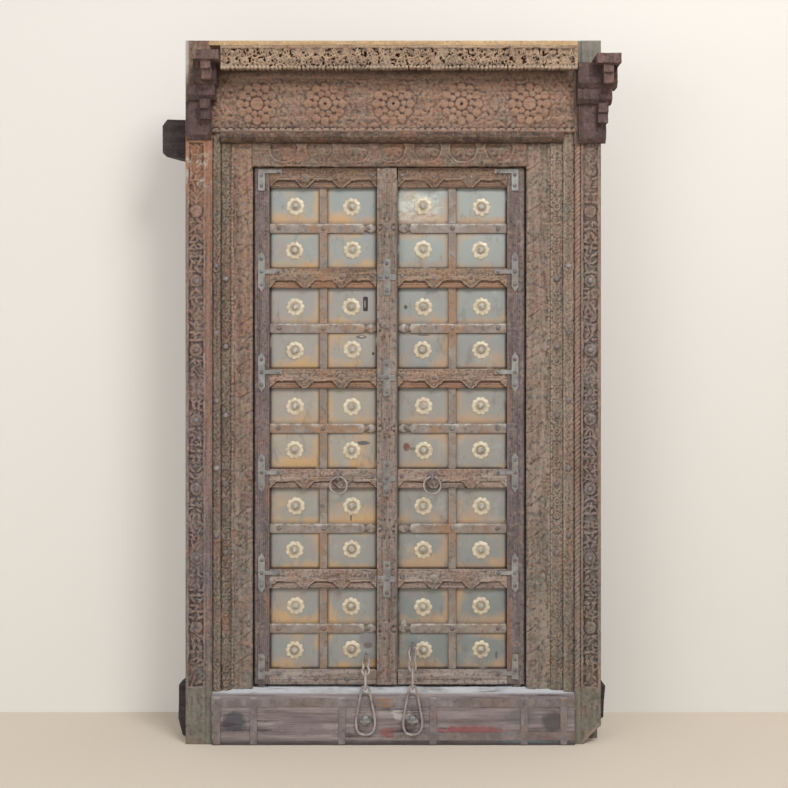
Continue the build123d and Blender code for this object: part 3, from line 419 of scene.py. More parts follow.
class Carving:
    """A field of heights over a front face, worked with hand-cut forms. Heights stand out towards the front."""

    def __init__(self, x0, x1, z0, z1, step, ground=0.0, seed=0, wander=1.0):
        self.xs = np.linspace(x0, x1, max(2, round((x1 - x0) / step) + 1))
        self.zs = np.linspace(z0, z1, max(2, round((z1 - z0) / step) + 1))
        self.x, self.z = np.meshgrid(self.xs, self.zs)
        self.h = np.full_like(self.x, ground)
        self.step = step
        self.seed = seed
        self.paints = {}
        swell = [wander * (1.7 * self.noise(23, k) + 0.8 * self.noise(9, k + 1)) for k in (900, 902)]
        self.u, self.v = self.x + swell[0], self.z + swell[1]

    def noise(self, scale, shift):
        return value_noise(self.x, self.z, scale, self.seed + shift)

    def window(self, x, z, reach):
        reach += 3
        i0, i1 = np.searchsorted(self.xs, (x - reach, x + reach))
        j0, j1 = np.searchsorted(self.zs, (z - reach, z + reach))
        part = (slice(j0, j1), slice(i0, i1))
        return part, self.u[part] - x, self.v[part] - z

    def raise_to(self, part, values):
        self.h[part] = np.maximum(self.h[part], values)

    def paint(self, name, amount):
        """Adds to a paint, which the material lays over the wood or iron."""
        self.paints[name] = np.maximum(self.paints.get(name, np.zeros_like(self.h)), np.clip(amount, 0, 1))

    def dome(self, x, z, radius, height, ground=0.0, power=0.5):
        part, dx, dz = self.window(x, z, radius)
        inside = np.clip(1 - (dx**2 + dz**2) / radius**2, 0, 1)
        self.raise_to(part, np.where(inside > 0, ground + height * inside**power, OUTSIDE))

    def ring(self, x, z, radius, width, height, ground=0.0):
        part, dx, dz = self.window(x, z, radius + width)
        inside = np.clip(1 - ((np.hypot(dx, dz) - radius) / (width / 2)) ** 2, 0, 1)
        self.raise_to(part, np.where(inside > 0, ground + height * np.sqrt(inside), OUTSIDE))

    def level(self, x, z, radius, ground):
        """Clears a disc down to one height."""
        part, dx, dz = self.window(x, z, radius + 3)
        self.h[part] = np.where(np.hypot(dx, dz) < radius, ground, self.h[part])

    def rounded(self, middle, half):
        """One along an upright line, falling in a half round to zero at half a width away."""
        return np.sqrt(np.clip(1 - ((self.u - middle) / half) ** 2, 0, 1))

    def up(self, low, high):
        """A share that goes from zero at one height to one at the other."""
        return smooth_step(low, high, self.z)

    def dent(self, x, z, radius, depth):
        part, dx, dz = self.window(x, z, radius)
        self.h[part] -= depth * np.clip(1 - (dx**2 + dz**2) / radius**2, 0, 1) ** 0.5

    def leaf(self, x, z, angle, length, width, height, ground=0.0, curl=0.0, veins=0.0):
        """A leaf from its base, with a sunk midrib. The angle is in degrees from +X to +Z."""
        part, dx, dz = self.window(x, z, length + width)
        c, s = math.cos(math.radians(angle)), math.sin(math.radians(angle))
        u, v = dx * c + dz * s, dz * c - dx * s
        share = np.clip(u / length, 0, 1)
        v = v - curl * length * share**2
        half = width / 2 * np.sin(np.pi * share**0.8) ** 0.7 + 1e-6
        inside = np.where((u > 0) & (u < length), np.clip(1 - (v / half) ** 2, 0, 1), 0)
        body = height * np.sqrt(inside) * (1 - 0.3 * share) - 0.35 * height * np.exp(-((v / 1.4) ** 2))
        body -= veins * height * np.clip(np.cos(2 * np.pi * (u + 0.7 * np.abs(v)) / 9.5) - 0.3, 0, 1)
        self.raise_to(part, np.where(inside > 0.02, ground + body, OUTSIDE))

    def stroke(self, points, width, height, ground=0.0):
        """A rounded stem along straight runs."""
        for (x0, z0), (x1, z1) in zip(points[:-1], points[1:]):
            middle = ((x0 + x1) / 2, (z0 + z1) / 2)
            length = math.hypot(x1 - x0, z1 - z0)
            part, dx, dz = self.window(*middle, length / 2 + width)
            px, pz = dx + middle[0] - x0, dz + middle[1] - z0
            along = np.clip((px * (x1 - x0) + pz * (z1 - z0)) / max(length**2, 1e-9), 0, 1)
            away = np.hypot(px - along * (x1 - x0), pz - along * (z1 - z0))
            inside = np.clip(1 - (away / (width / 2)) ** 2, 0, 1)
            self.raise_to(part, np.where(inside > 0, ground + height * np.sqrt(inside), OUTSIDE))

    def cut(self, points, width, depth):
        """A rounded cut along straight runs."""
        kept, self.h = self.h, np.zeros_like(self.h)
        self.stroke(points, width, depth)
        self.h = kept - self.h

    def foliage(self, x0, x1, z0, z1, size, height, ground, shift, slim=0.52, curl=0.45):
        """Small curled leaves, turned every way, that fill a field."""
        draw = np.random.default_rng(self.seed + shift)
        spacing = size * 0.72
        for row in range(math.ceil((z1 - z0) / spacing)):
            for column in range(math.ceil((x1 - x0) / spacing)):
                x = x0 + spacing * (column + draw.uniform(0.1, 0.9))
                z = z0 + spacing * (row + draw.uniform(0.1, 0.9))
                angle, bend = draw.uniform(0, 360), draw.uniform(-curl, curl)
                tall = height * draw.uniform(0.65, 1.0)
                x -= size / 2 * math.cos(math.radians(angle))
                z -= size / 2 * math.sin(math.radians(angle))
                self.leaf(x, z, angle, size, size * slim, tall, ground, bend)

    def box(self, x0, x1, z0, z1, height, edge=1.5):
        """A flat raised block with rounded edges."""
        inset = np.minimum.reduce([self.u - x0, x1 - self.u, self.v - z0, z1 - self.v])
        values = height - edge * (1 - np.clip(inset / edge, 0, 1)) ** 2
        self.h = np.where(inset > 0, np.maximum(self.h, values), self.h)

    def weather(self, amount, grain_up=True):
        """Wear: low swells, fine grain lines, chips and places rubbed nearly flat."""
        along, across = (self.z, self.x) if grain_up else (self.x, self.z)
        self.h += amount * 0.5 * self.noise(55, 1)
        self.h += amount * 0.3 * value_noise(across * 9, along, 34, self.seed + 2)
        self.h += amount * 0.4 * self.noise(8, 3)
        self.h -= amount * 2.2 * np.clip(self.noise(19, 4) - 0.55, 0, 1)
        rubbed = 0.55 * smooth_step(0.1, 0.7, self.noise(48, 5))
        self.h += rubbed * (blurred(self.h, round(9 / self.step)) - self.h)


def keep_values(mesh, attributes):
    """Keeps named values on a mesh's points, for the materials."""
    for key, values in attributes.items():
        data = mesh.attributes.new(key, "FLOAT", "POINT").data
        data.foreach_set("value", np.asarray(values, dtype=np.float32))


def dress(piece, material, body, replaced):
    """Links a piece, with its material, its body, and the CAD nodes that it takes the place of."""
    bpy.context.scene.collection.objects.link(piece)
    piece.data.materials.append(materials[material])
    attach(piece, body)
    if replaced:
        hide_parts(*replaced)
    return piece


def new_piece(name, form, material, body, replaced):
    """A smooth mesh piece from a form: its vertices, faces and attributes."""
    vertices, faces, attributes = form
    mesh = bpy.data.meshes.new(name)
    mesh.from_pydata([tuple(v) for v in np.asarray(vertices) * MM], [], faces)
    mesh.update()
    keep_values(mesh, attributes)
    mesh.polygons.foreach_set("use_smooth", [True] * len(mesh.polygons))
    return dress(bpy.data.objects.new(name, mesh), material, body, replaced)


CAVITY_REACH = 6.0
CAVITY_DEPTH = 3.2


def shades(carving):
    """The shares of each point of a carving: its hollows, darkened as grime and painted shade, its high places,
    lightened as wear and painted highlight, and its paints.
    """
    local = (carving.h - blurred(carving.h, max(1, round(CAVITY_REACH / carving.step)))) / CAVITY_DEPTH
    return {"hollow": np.clip(-local, 0, 1), "high": np.clip(local, 0, 1), **carving.paints}


def carving_on(node, step, ground=0.0, seed=0, wander=1.0):
    """A carving over the front of a CAD node, and the node's edges on X and Z."""
    (x0, _, z0), (x1, depth, z1) = node_box(node)
    carving = Carving(x0, x1, z0, z1, step, ground, seed, wander)
    carving.node, carving.depth = node, depth
    return carving, x0, x1, z0, z1


def carved_mesh(carving, face, depth):
    """Vertices, faces and attributes of a closed board whose front is the carving."""
    rows, columns = carving.h.shape
    front = np.stack([carving.x, face - carving.h, carving.z], axis=-1).reshape(-1, 3)
    index = np.arange(rows * columns).reshape(rows, columns)
    quads = np.stack([index[:-1, :-1], index[:-1, 1:], index[1:, 1:], index[1:, :-1]], axis=-1).reshape(-1, 4)
    rim = list(index[0, :-1]) + list(index[:-1, -1]) + list(index[-1, :0:-1]) + list(index[:0:-1, 0])
    back = front[rim].copy()
    back[:, 1] = depth
    base, count = rows * columns, len(rim)
    sides = [[rim[k], base + k, base + (k + 1) % count, rim[(k + 1) % count]] for k in range(count)]
    faces = quads.tolist() + sides + [[base + k for k in range(count - 1, -1, -1)]]
    flat = {key: value.reshape(-1) for key, value in shades(carving).items()}
    attributes = {key: np.concatenate([value, value[rim]]) for key, value in flat.items()}
    return np.concatenate([front, back]), faces, attributes


def carved_piece(name, carving, face, material, body="frame"):
    """A closed board that takes a CAD node's place, with the carving on its front."""
    return new_piece(name, carved_mesh(carving, face, carving.depth), material, body, [carving.node])


def pierced_mesh(carving, face, thickness, cut):
    """A board cut right through wherever the carving is lower than the cut. Loose bits are left out."""
    solid = carving.h > cut
    cells = solid[:-1, :-1] & solid[:-1, 1:] & solid[1:, 1:] & solid[1:, :-1]
    held = np.zeros_like(cells)
    held[-1] = cells[-1]
    for _ in range(sum(cells.shape)):
        grown = held.copy()
        grown[1:] |= held[:-1]
        grown[:-1] |= held[1:]
        grown[:, 1:] |= held[:, :-1]
        grown[:, :-1] |= held[:, 1:]
        grown &= cells
        if (grown == held).all():
            break
        held = grown
    rows, columns = carving.h.shape
    index = np.arange(rows * columns).reshape(rows, columns)
    layer = rows * columns
    corners = np.stack([index[:-1, :-1], index[:-1, 1:], index[1:, 1:], index[1:, :-1]], axis=-1)
    front = corners[held]
    quads = [front, front[:, ::-1] + layer]
    padded = np.pad(held, 1)
    for (dj, di), (a, b) in (((-1, 0), (0, 1)), ((0, 1), (1, 2)), ((1, 0), (2, 3)), ((0, -1), (3, 0))):
        beside = padded[1 + dj:1 + dj + rows - 1, 1 + di:1 + di + columns - 1]
        rim = corners[held & ~beside]
        quads.append(np.stack([rim[:, b], rim[:, a], rim[:, a] + layer, rim[:, b] + layer], axis=-1))
    faces = np.concatenate(quads)
    top = np.stack([carving.x, face - carving.h, carving.z], axis=-1).reshape(-1, 3)
    rear = top.copy()
    rear[:, 1] = face + thickness
    points = np.concatenate([top, rear])
    used, inverse = np.unique(faces, return_inverse=True)
    attributes = {key: np.concatenate([value.reshape(-1)] * 2)[used] for key, value in shades(carving).items()}
    return points[used], inverse.reshape(faces.shape).tolist(), attributes


def joined(parts):
    """One set of vertices, faces and attributes from several."""
    vertices, faces, attributes = [], [], {}
    names = {key for _, _, values in parts for key in values}
    base = 0
    for points, polygons, values in parts:
        vertices.append(points)
        faces += [[base + k for k in polygon] for polygon in polygons]
        for key in names:
            attributes.setdefault(key, []).append(values.get(key, np.zeros(len(points))))
        base += len(points)
    return np.concatenate(vertices), faces, {key: np.concatenate(value) for key, value in attributes.items()}


WELD = 0.00002  # metres
SHARP_ANGLE = 0.5  # radians
MOST_FACES = 60000


def refined(node, material, body, bevel=2.0, rough=0.6, size=14.0, paints=None):
    """A worn copy of a CAD node: finer mesh, softened edges and an uneven surface."""
    mesh = frame["nodes"][node].data.copy()
    work = bmesh.new()
    work.from_mesh(mesh)
    bmesh.ops.remove_doubles(work, verts=work.verts, dist=WELD)
    bmesh.ops.dissolve_limit(work, angle_limit=0.02, verts=work.verts, edges=work.edges)
    sharp = [edge for edge in work.edges if edge.is_manifold and edge.calc_face_angle(0) > SHARP_ANGLE]
    if sharp and bevel:
        bmesh.ops.bevel(work, geom=sharp, offset=bevel * MM, segments=2, profile=0.6, affect="EDGES",
                        clamp_overlap=True)
    bmesh.ops.triangulate(work, faces=work.faces)
    for _ in range(6):
        long_edges = [edge for edge in work.edges if edge.calc_length() > size * MM * 1.6]
        if not long_edges or len(work.faces) > MOST_FACES:
            break
        bmesh.ops.subdivide_edges(work, edges=long_edges, cuts=1)
        bmesh.ops.triangulate(work, faces=work.faces)
    work.normal_update()
    work.to_mesh(mesh)
    normals = np.array([vertex.normal for vertex in work.verts])
    work.free()
    points = np.array([vertex.co for vertex in mesh.vertices]) / MM
    x, y, z = points.T
    seed = sum(map(ord, node)) % 97
    push = value_noise(x + y * 0.7, z + y * 0.4, 38, seed) + 0.5 * value_noise(x * 1.3 - y, z, 13, seed + 1)
    moved = points - normals * np.abs(push)[:, None] * rough
    mesh.vertices.foreach_set("co", (moved * MM).reshape(-1))
    keep_values(mesh, {key: np.clip(amount(x, y, z), 0, 1) for key, amount in (paints or {}).items()})
    mesh.materials.clear()
    mesh.polygons.foreach_set("use_smooth", [False] * len(mesh.polygons))
    mesh.update()
    return dress(bpy.data.objects.new(node + "_worn", mesh), material, body, [node])


def polar_form(profile, outline=None, sectors=40):
    """A round form that stands on y = 0 towards the front. The outline scales each radius by angle."""
    rings = len(profile)
    angles = np.linspace(0, 2 * math.pi, sectors, endpoint=False)
    scale = np.ones(sectors) if outline is None else outline(angles)
    points = [[0, -profile[0][1], 0]]
    for radius, height in profile[1:]:
        for angle, reach in zip(angles, scale):
            points.append([radius * reach * math.cos(angle), -height, radius * reach * math.sin(angle)])
    faces = [[0, 1 + k, 1 + (k + 1) % sectors] for k in range(sectors)]
    for ring in range(rings - 2):
        first, second = 1 + ring * sectors, 1 + (ring + 1) * sectors
        for k in range(sectors):
            faces.append([first + k, second + k, second + (k + 1) % sectors, first + (k + 1) % sectors])
    last = 1 + (rings - 2) * sectors
    faces.append([last + k for k in range(sectors - 1, -1, -1)])
    return np.array(points, dtype=float), faces


def tube(points, radius, sides=10):
    """A round bar along a closed path of points."""
    path = np.asarray(points, dtype=float)
    count = len(path)
    tangents = np.roll(path, -1, axis=0) - np.roll(path, 1, axis=0)
    tangents /= np.linalg.norm(tangents, axis=1)[:, None]
    normal = np.linalg.svd(path - path.mean(axis=0))[2][2]
    rings = []
    for place, tangent in zip(path, tangents):
        side = np.cross(tangent, normal)
        side /= np.linalg.norm(side)
        for step in range(sides):
            angle = 2 * math.pi * step / sides
            rings.append(place + radius * (math.cos(angle) * side + math.sin(angle) * normal))
    faces = []
    for k in range(count):
        first, second = k * sides, ((k + 1) % count) * sides
        for step in range(sides):
            after = (step + 1) % sides
            faces.append([first + step, first + after, second + after, second + step])
    return np.array(rings), faces


# Frame
POST_INNER = 619.0
POST_OUTER = 669.0
POST_SINK = 8.0
GROOVE_FOOT = 186.0
GROOVE_TOP = 1965.0
MEDALLION_FIRST = 380.0
MEDALLION_PITCH = 226.5
MEDALLION_COUNT = 7


def outer_post(side):
    """Sunk foliage in pairs about the groove's middle, with round medallions between."""
    carving, *_ = carving_on(f"{side}_outer_post", 2.6, seed=11 if side == "left" else 23)
    low, high = sorted(OUTWARD[side] * edge for edge in (POST_INNER, POST_OUTER))
    middle, ground = (low + high) / 2, -POST_SINK
    sink = [carving.u - low, high - carving.u, carving.v - GROOVE_FOOT, GROOVE_TOP - carving.v]
    carving.h -= POST_SINK * smooth_step(0, 3.0, np.minimum.reduce(sink))
    carving.foliage(low + 2, high - 2, GROOVE_FOOT, GROOVE_TOP, 24, 7.6, ground, 7, 0.36, 0.7)
    draw = np.random.default_rng(carving.seed)
    for number in range(MEDALLION_COUNT):
        z = MEDALLION_FIRST + MEDALLION_PITCH * number
        for turn in (-1, 1):
            for away in (32, 56, 82, 106):
                base_z = z + turn * away
                if not GROOVE_FOOT + 16 < base_z < GROOVE_TOP - 16:
                    continue
                lean, length = draw.uniform(35, 125), draw.uniform(26, 36)
                for flank in (-1, 1):
                    angle = 90 * turn - flank * turn * (lean + draw.uniform(-9, 9))
                    curl = 0.5 * flank * turn
                    carving.leaf(middle + flank * 2.5, base_z, angle, length, 9.5, 9.0, ground, curl, 0.3)
        carving.level(middle, z, 22.5, ground)
        carving.dome(middle, z, 20.5, 6.0, ground, 0.15)
    if side == "left":
        bead = carving.rounded(-602.5, 9)
        carving.h += np.where(bead > 0, 2.4 * bead - 2.4, 0) - 1.5 * (np.abs(carving.u + 612.5) < 1.6)
        carving.paint("warm", 0.3 * (bead > 0) * carving.up(500, 1100))
        flaked = smooth_step(0.0, 0.5, carving.noise(13, 40) + 0.5 * carving.noise(5, 44))
        carving.paint("pale", carving.up(2120, 2200) * smooth_step(-664, -672, carving.x))
        carving.paint("pale", 0.8 * flaked * carving.up(1790, 1860) * carving.up(1960, 1900))
        carving.paint("warm", 0.6 * carving.up(1700, 1900) * carving.up(2120, 1960))
    else:
        carving.paint("grey", carving.up(2120, 2200) * (0.8 + 0.4 * carving.noise(40, 40)))
        carving.paint("warm", 0.4 * (carving.x > high + 1) * carving.up(500, 800) * carving.up(1900, 1500))
    foot = carving.up(GROOVE_FOOT + 6, GROOVE_FOOT - 12)
    carving.paint("grey", foot * (0.4 + 0.4 * carving.noise(30, 41)))
    carving.paint("dark", foot * smooth_step(0.3, 0.7, carving.noise(26, 45)) * 0.4)
    decay = 2.5 * np.clip(carving.noise(34, 42) + 0.3, 0, 1) + 2.0 * np.clip(carving.noise(15, 43), 0, 1)
    carving.h -= foot * decay
    carving.leaf(middle, 60, 80, 95, 34, 2.4 if side == "left" else 0.1, -1.5, curl=0.25)
    carving.weather(1.0)
    carving.h = np.minimum(carving.h, 1.5)
    if side == "right":
        broken = (carving.x - 619) * 1.05 > carving.z
        carving.h -= np.where(broken, 66, 0)
    return carved_piece(f"{side}_post_carved", carving, 0.0, f"post_{side}")


LEAF_PITCH = 24
SCALLOP_PITCH = 46.0


def finished_band(side, carving, x0, kind, face):
    """Paint left along the inner edge of the right bands, then wear."""
    if side == "right":
        carving.paint("pale", 0.5 * (carving.u - x0 < 4.5) * carving.up(300, 700))
    carving.weather(0.8)
    return carved_piece(f"{side}_{kind}_band_carved", carving, face, f"band_{side}")


def outer_band(side):
    """A rounded band of small leaves in pairs."""
    carving, x0, x1, z0, z1 = carving_on(f"{side}_outer_band", 2.4, -5.5, 31 if side == "left" else 32)
    middle, half, ground = (x0 + x1) / 2, (x1 - x0) / 2, -5.2
    crown = 3.2 * carving.rounded(middle, half)
    carving.foliage(x0, x1, z0, z1, 13, 4.2, ground, 3, 0.45, 0.6)
    for number in range(int((z1 - z0) / LEAF_PITCH)):
        for flank in (-1, 1):
            base = z0 + 10 + LEAF_PITCH * number + 3 * flank
            carving.leaf(middle + flank * 2, base, 90 - flank * 52, 19, 8, 5.2, ground, 0.55 * flank, 0.3)
    carving.h += crown
    edge = np.minimum(carving.x - x0, x1 - carving.x)
    carving.h -= 2.4 * smooth_step(3.0, 0.5, edge + 1.4 * carving.noise(12, 8))
    return finished_band(side, carving, x0, "outer", 8.0)


def middle_band(side):
    """A band of foliage and rings, whose inner edge is cut in ragged scallops."""
    carving, x0, x1, z0, z1 = carving_on(f"{side}_middle_band", 2.4, -5.0, 41 if side == "left" else 42)
    inner = x1 if side == "left" else x0
    middle, half, ground = (x0 + x1) / 2, (x1 - x0) / 2, -5.0
    carving.foliage(x0, x1, z0, z1, 14, 4.4, ground, 3, 0.45, 0.6)
    for number in range(int((z1 - z0) / SCALLOP_PITCH)):
        z = z0 + 22 + SCALLOP_PITCH * number
        carving.ring(middle, z, half * 0.45, 5, 5.0, ground)
        carving.dome(middle, z, 4, 4.6, ground)
        base = z + SCALLOP_PITCH / 2 - 10
        for flank in (-1, 1):
            carving.leaf(middle + flank * 2, base, 90 - flank * 48, 22, 9, 5.0, ground, 0.5 * flank, 0.3)
        for step in (0, 0.5):
            carving.dent(inner + OUTWARD[side] * 2, z + SCALLOP_PITCH * step, 4.0, 3)
    carving.h += 1.8 * carving.rounded(middle, half)
    return finished_band(side, carving, x0, "middle", 14.0)


VINE_PITCH = 242.0
VINE_FIRST = 205.0
VINE_COUNT = 7
BEAD_PITCH = 13
TWIST_PITCH = 15.5


def vine_jamb(side):
    """A worn jamb: a row of beads, and a broad field with one large veined leaf to each swoop of its stem."""
    carving, x0, x1, z0, z1 = carving_on(f"{side}_vine_jamb", 3.0, -3.0, 51 if side == "left" else 52)
    sign = OUTWARD[side]
    outer, inner = (x0, x1) if side == "left" else (x1, x0)
    low, high = sorted((outer - sign * 12, inner))
    carving.foliage(low, high, z0, z1, 16, 2.6, -3.0, 3)
    for number in range(int((z1 - z0) / BEAD_PITCH)):
        carving.dome(outer - sign * 4.5, z0 + BEAD_PITCH * number + 6, 6.0, 3.2, -2.8)
    carving.h -= 2.0 * (np.abs(carving.u - (outer - sign * 10.5)) < 1.4)
    carving.foliage(low, high, z0, z1, 36, 3.4, -3.0, 5, 0.6, 0.35)
    for number in range(VINE_COUNT):
        z = VINE_FIRST + VINE_PITCH * (number + 0.15)
        for lean, length, width in ((100, 62, 28), (66, 54, 24), (138, 46, 22), (36, 36, 18)):
            angle = 180 - lean if side == "left" else lean
            carving.leaf(inner + sign * 6, z + 28, angle, length, width, 4.6, -2.8, -0.12 * sign, 0.25)
        for start, rise, reach in ((z + 48, 34, 52), (z + 122, 22, 30), (z + 184, 26, 42)):
            arc = [(inner + sign * reach * k / 9, start + sign * rise * (k / 9) ** 1.7) for k in range(10)]
            carving.cut(arc, 6.5, 2.8)
        hook = [(inner + sign * (52 + 12 * math.sin(k / 2.5)), z + 48 + sign * (34 - 6 * k)) for k in range(7)]
        carving.cut(hook, 5, 2.4)
    carving.h += 1.1 * carving.noise(6.5, 15)
    carving.h -= 1.6 * smooth_step(2.4, 0.6, np.abs(carving.x - inner) + 2.5 * carving.noise(30, 9))
    carving.weather(1.0)
    carving.h = np.minimum(carving.h, 2.0)
    return carved_piece(f"{side}_vine_jamb_carved", carving, 20.0, f"jamb_{side}")


def rope():
    """A twisted bead beside the right post, plain above and below."""
    carving, x0, x1, _, _ = carving_on("rope_moulding", 2.6, seed=61, wander=0.6)
    middle, half = (x0 + x1) / 2, (x1 - x0) / 2
    across = np.clip((carving.u - middle) / half, -1, 1)
    round_top = 7 * carving.rounded(middle, half) - 7
    twist = np.abs(np.sin(math.pi * (carving.v - across * 9) / TWIST_PITCH)) ** 0.8
    carved = (carving.z > 182) & (carving.z < 1960)
    carving.h = np.where(carved, round_top + 3.6 * twist - 3.2, round_top * 0.15)
    carving.paint("warm", 0.2 * carved * carving.up(300, 900))
    carving.paint("grey", np.maximum(carving.up(2120, 2200), 0.8 * carving.up(190, 150)))
    carving.weather(0.7)
    return carved_piece("rope_carved", carving, 2.0, "post_right")


LAPPET_PITCH = 235.0
LAPPET_SHIFT = 112.0


def lintel():
    """Worn hanging lappets, each inside a raised U, under a band of small leaves."""
    carving, x0, x1, z0, z1 = carving_on("lintel", 2.5, -3.6, 71)
    carving.foliage(x0, x1, z0 + 4, z1 - 26, 17, 3.4, -3.6, 3)
    carving.box(x0, x1, z1 - 24, z1, -0.6)
    carving.box(x0, x1, z0, z0 + 4, -0.5)
    for number in range(-4, 4):
        x = LAPPET_SHIFT + LAPPET_PITCH / 2 * number
        if not x0 + 40 < x < x1 - 40:
            continue
        carving.level(x, z1 - 22, 45, -6.0)
        for spread, length in ((0, 42), (34, 38), (-34, 38), (68, 34), (-68, 34)):
            carving.leaf(x, z1 - 16, -90 + spread, length, 15, 6.4, -6.0, 0.2 * np.sign(spread), 0.3)
        turns = [math.pi * k / 16 for k in range(17)]
        carving.stroke([(x + 46 * math.cos(a), z1 - 20 - 43 * math.sin(a)) for a in turns], 6.5, 4.8, -4.6)
        if number % 2:
            carving.box(x + 62, x + 108, z0 + 5, z0 + 20, 1.6, 3)
    carving.paint("warm", 0.35 * smooth_step(0.1, 0.6, carving.noise(70, 30)))
    carving.weather(0.9, grain_up=False)
    return carved_piece("lintel_carved", carving, 15.0, "head")


ROSETTE_PITCH = 223.0
ROSETTE_HEIGHT = 2092.0
CUSP_PITCH = 24.0


def frieze():
    """Five rosettes of flat discs, nearly touching, with dense foliage between them."""
    carving, x0, x1, z0, z1 = carving_on("frieze", 2.9, -4.0, 81, 0.35)
    top, middle = z1 - 88, ROSETTE_HEIGHT
    carving.foliage(x0, x1, z0 + 12, top, 19, 4.6, -4.0, 3)
    for number in range(-3, 3):
        x = ROSETTE_PITCH * (number + 0.5)
        for turn in (-1, 1):
            z = middle + turn * 46
            for spread in (-125, -75, -25, 25, 75, 125):
                curl = 0.3 * np.sign(spread)
                carving.leaf(x, z, 90 * turn + spread, 36, 15, 6.0, -4.0, curl, 0.2)
            carving.dome(x, z, 8, 6, -4.0, 0.3)
        carving.leaf(x, middle - 24, 90, 48, 22, 6.4, -4.0, veins=0.25)
    for number in range(-2, 3):
        x = ROSETTE_PITCH * number
        away = np.hypot(carving.x - x, carving.z - middle)
        carving.level(x, middle, 71, -4.6)
        carving.paint("warm", 0.22 * smooth_step(73, 68, away))
        carving.dome(x, middle, 21, 5.4, -4.4, 0.14)
        for count, reach, radius, turn in ((10, 34, 10.2, 0.1), (12, 56, 14.3, 0.0)):
            for step in range(count):
                a = 2 * math.pi * (step + turn) / count
                carving.dome(x + reach * math.cos(a), middle + reach * math.sin(a), radius, 5.2, -4.4, 0.16)
        if abs(number) < 2:
            carving.dent(x, middle, 5, 9)
            # Painted shade in the hole in the middle of each of the three middle rosettes.
            carving.paint("dark", 0.9 * smooth_step(5, 3, away))
    phase = np.abs(((carving.u - x0) % CUSP_PITCH) / CUSP_PITCH - 0.5) * 2
    lip = z0 + 5 + 9 * np.sqrt(np.clip(1 - phase**2, 0, 1))
    carving.h = np.where(carving.v < lip, np.maximum(carving.h, 4.0 + 2.0 * (1 - phase)), carving.h)
    carving.box(x0, x1, top, z1, -2.5)
    # Painted shadow of the cornice across the top of the frieze.
    carving.paint("dark", 0.5 * carving.up(top - 8, top + 30))
    carving.weather(1.1, grain_up=False)
    return carved_piece("frieze_carved", carving, 5.0, "frieze")


SCROLL_PITCH = 38.2
PIERCED = -5.6  # the board is cut through wherever it lies lower


def cornice():
    """The openwork board: curled stems, small leaves and a scalloped fringe, cut right through between them."""
    face, rear = (corner[1] for corner in node_box("cornice_carving"))
    carving, x0, x1, z0, z1 = carving_on("cornice_carving", 2.15, -8.0, 91, 1.5)
    carving.box(x0 - 9, x1 + 9, z1 - 9, z1 + 9, 1.0, 2)
    count = round((x1 - x0) / SCROLL_PITCH)
    pitch = (x1 - x0) / count
    low, high, ground = z0 + 25, z1 - 23, -6.5
    for number in range(count):
        x = x0 + pitch * (number + 0.5)
        flip = 1 if number % 2 == 0 else -1
        for centre_x, centre_z, turn in ((x, high, flip), (x + pitch / 2, low, -flip)):
            curl = []
            for step in range(15):
                reach = 3.5 + 8.0 * step / 14
                angle = turn * (0.4 + 2 * math.pi * step / 11)
                curl.append((centre_x + reach * math.cos(angle), centre_z + turn * reach * math.sin(angle)))
            carving.stroke(curl, 4.6, 7.0, ground)
            carving.leaf(centre_x - turn * 5, centre_z, 90 - turn * 60, 22, 8, 7.0, ground, curl=0.3 * turn)
        carving.stroke([(x - 4, high + 10), (x + pitch / 2, low - 8)], 4.4, 6.6, ground)
        carving.stroke([(x + pitch / 2, low + 10), (x + pitch, high - 10)], 4.4, 6.6, ground)
        carving.stroke([(x, high + 8), (x, z1)], 5.0, 6.6, ground)
        for step in range(3):
            drop = x0 + pitch * (number + step / 3)
            carving.dome(drop, z0 + 5.5, 6.2, 8.0, ground, 0.4)
            carving.stroke([(drop, z0 + 8), (drop + flip * 5, low - 9)], 4.0, 6.4, ground)
    carving.foliage(x0, x1, z0 + 12, z1 - 10, 12, 5.8, -6.4, 5)
    web = 0.8 * carving.noise(9, 61) + 0.6 * carving.noise(5, 62) > -0.22
    carving.h = np.where(web, np.maximum(carving.h, -4.6 + 0.6 * carving.noise(5, 63)), carving.h)
    for edge in (x0, x1):
        carving.box(edge - 9, edge + 9, z0 + 3, z1, 0.0, 2)
    carving.weather(0.5, grain_up=False)
    carving.h = np.minimum(carving.h, 1.5)
    carving.paint("pale", 0.25 * carving.up(z0 + 16, z0 + 8))
    form = pierced_mesh(carving, face + 1.5, rear - face - 1.5, PIERCED)
    new_piece("cornice_scroll_board", form, "cornice", "frame", ["cornice_carving"])


# Leaves
RAIL_FACE = 32.0
SHEET_FACE = 50.0
BOARD_FACE = 51.5


def leaf_edges(side):
    """The edges of a leaf's panels on X, which are those of its boards."""
    (x0, _, _), (x1, _, _) = node_box(f"{side}_boards")
    return x0, x1


def rail_list(side):
    """Low and high of each rail, from the top down."""
    (_, _, low), (_, _, high) = node_box(f"{side}_top_rail")
    (_, _, last_low), (_, _, last_high) = node_box(f"{side}_bottom_rail")
    pitch = (high - last_high) / 5
    return [(low - pitch * n, high - pitch * n) for n in range(5)] + [(last_low, last_high)]


def panel_middles():
    """The heights of the straps, half way between rails."""
    places = rail_list("left")
    return [(places[n + 1][1] + places[n][0]) / 2 for n in range(5)]


DROP_OFFSET = 61.0


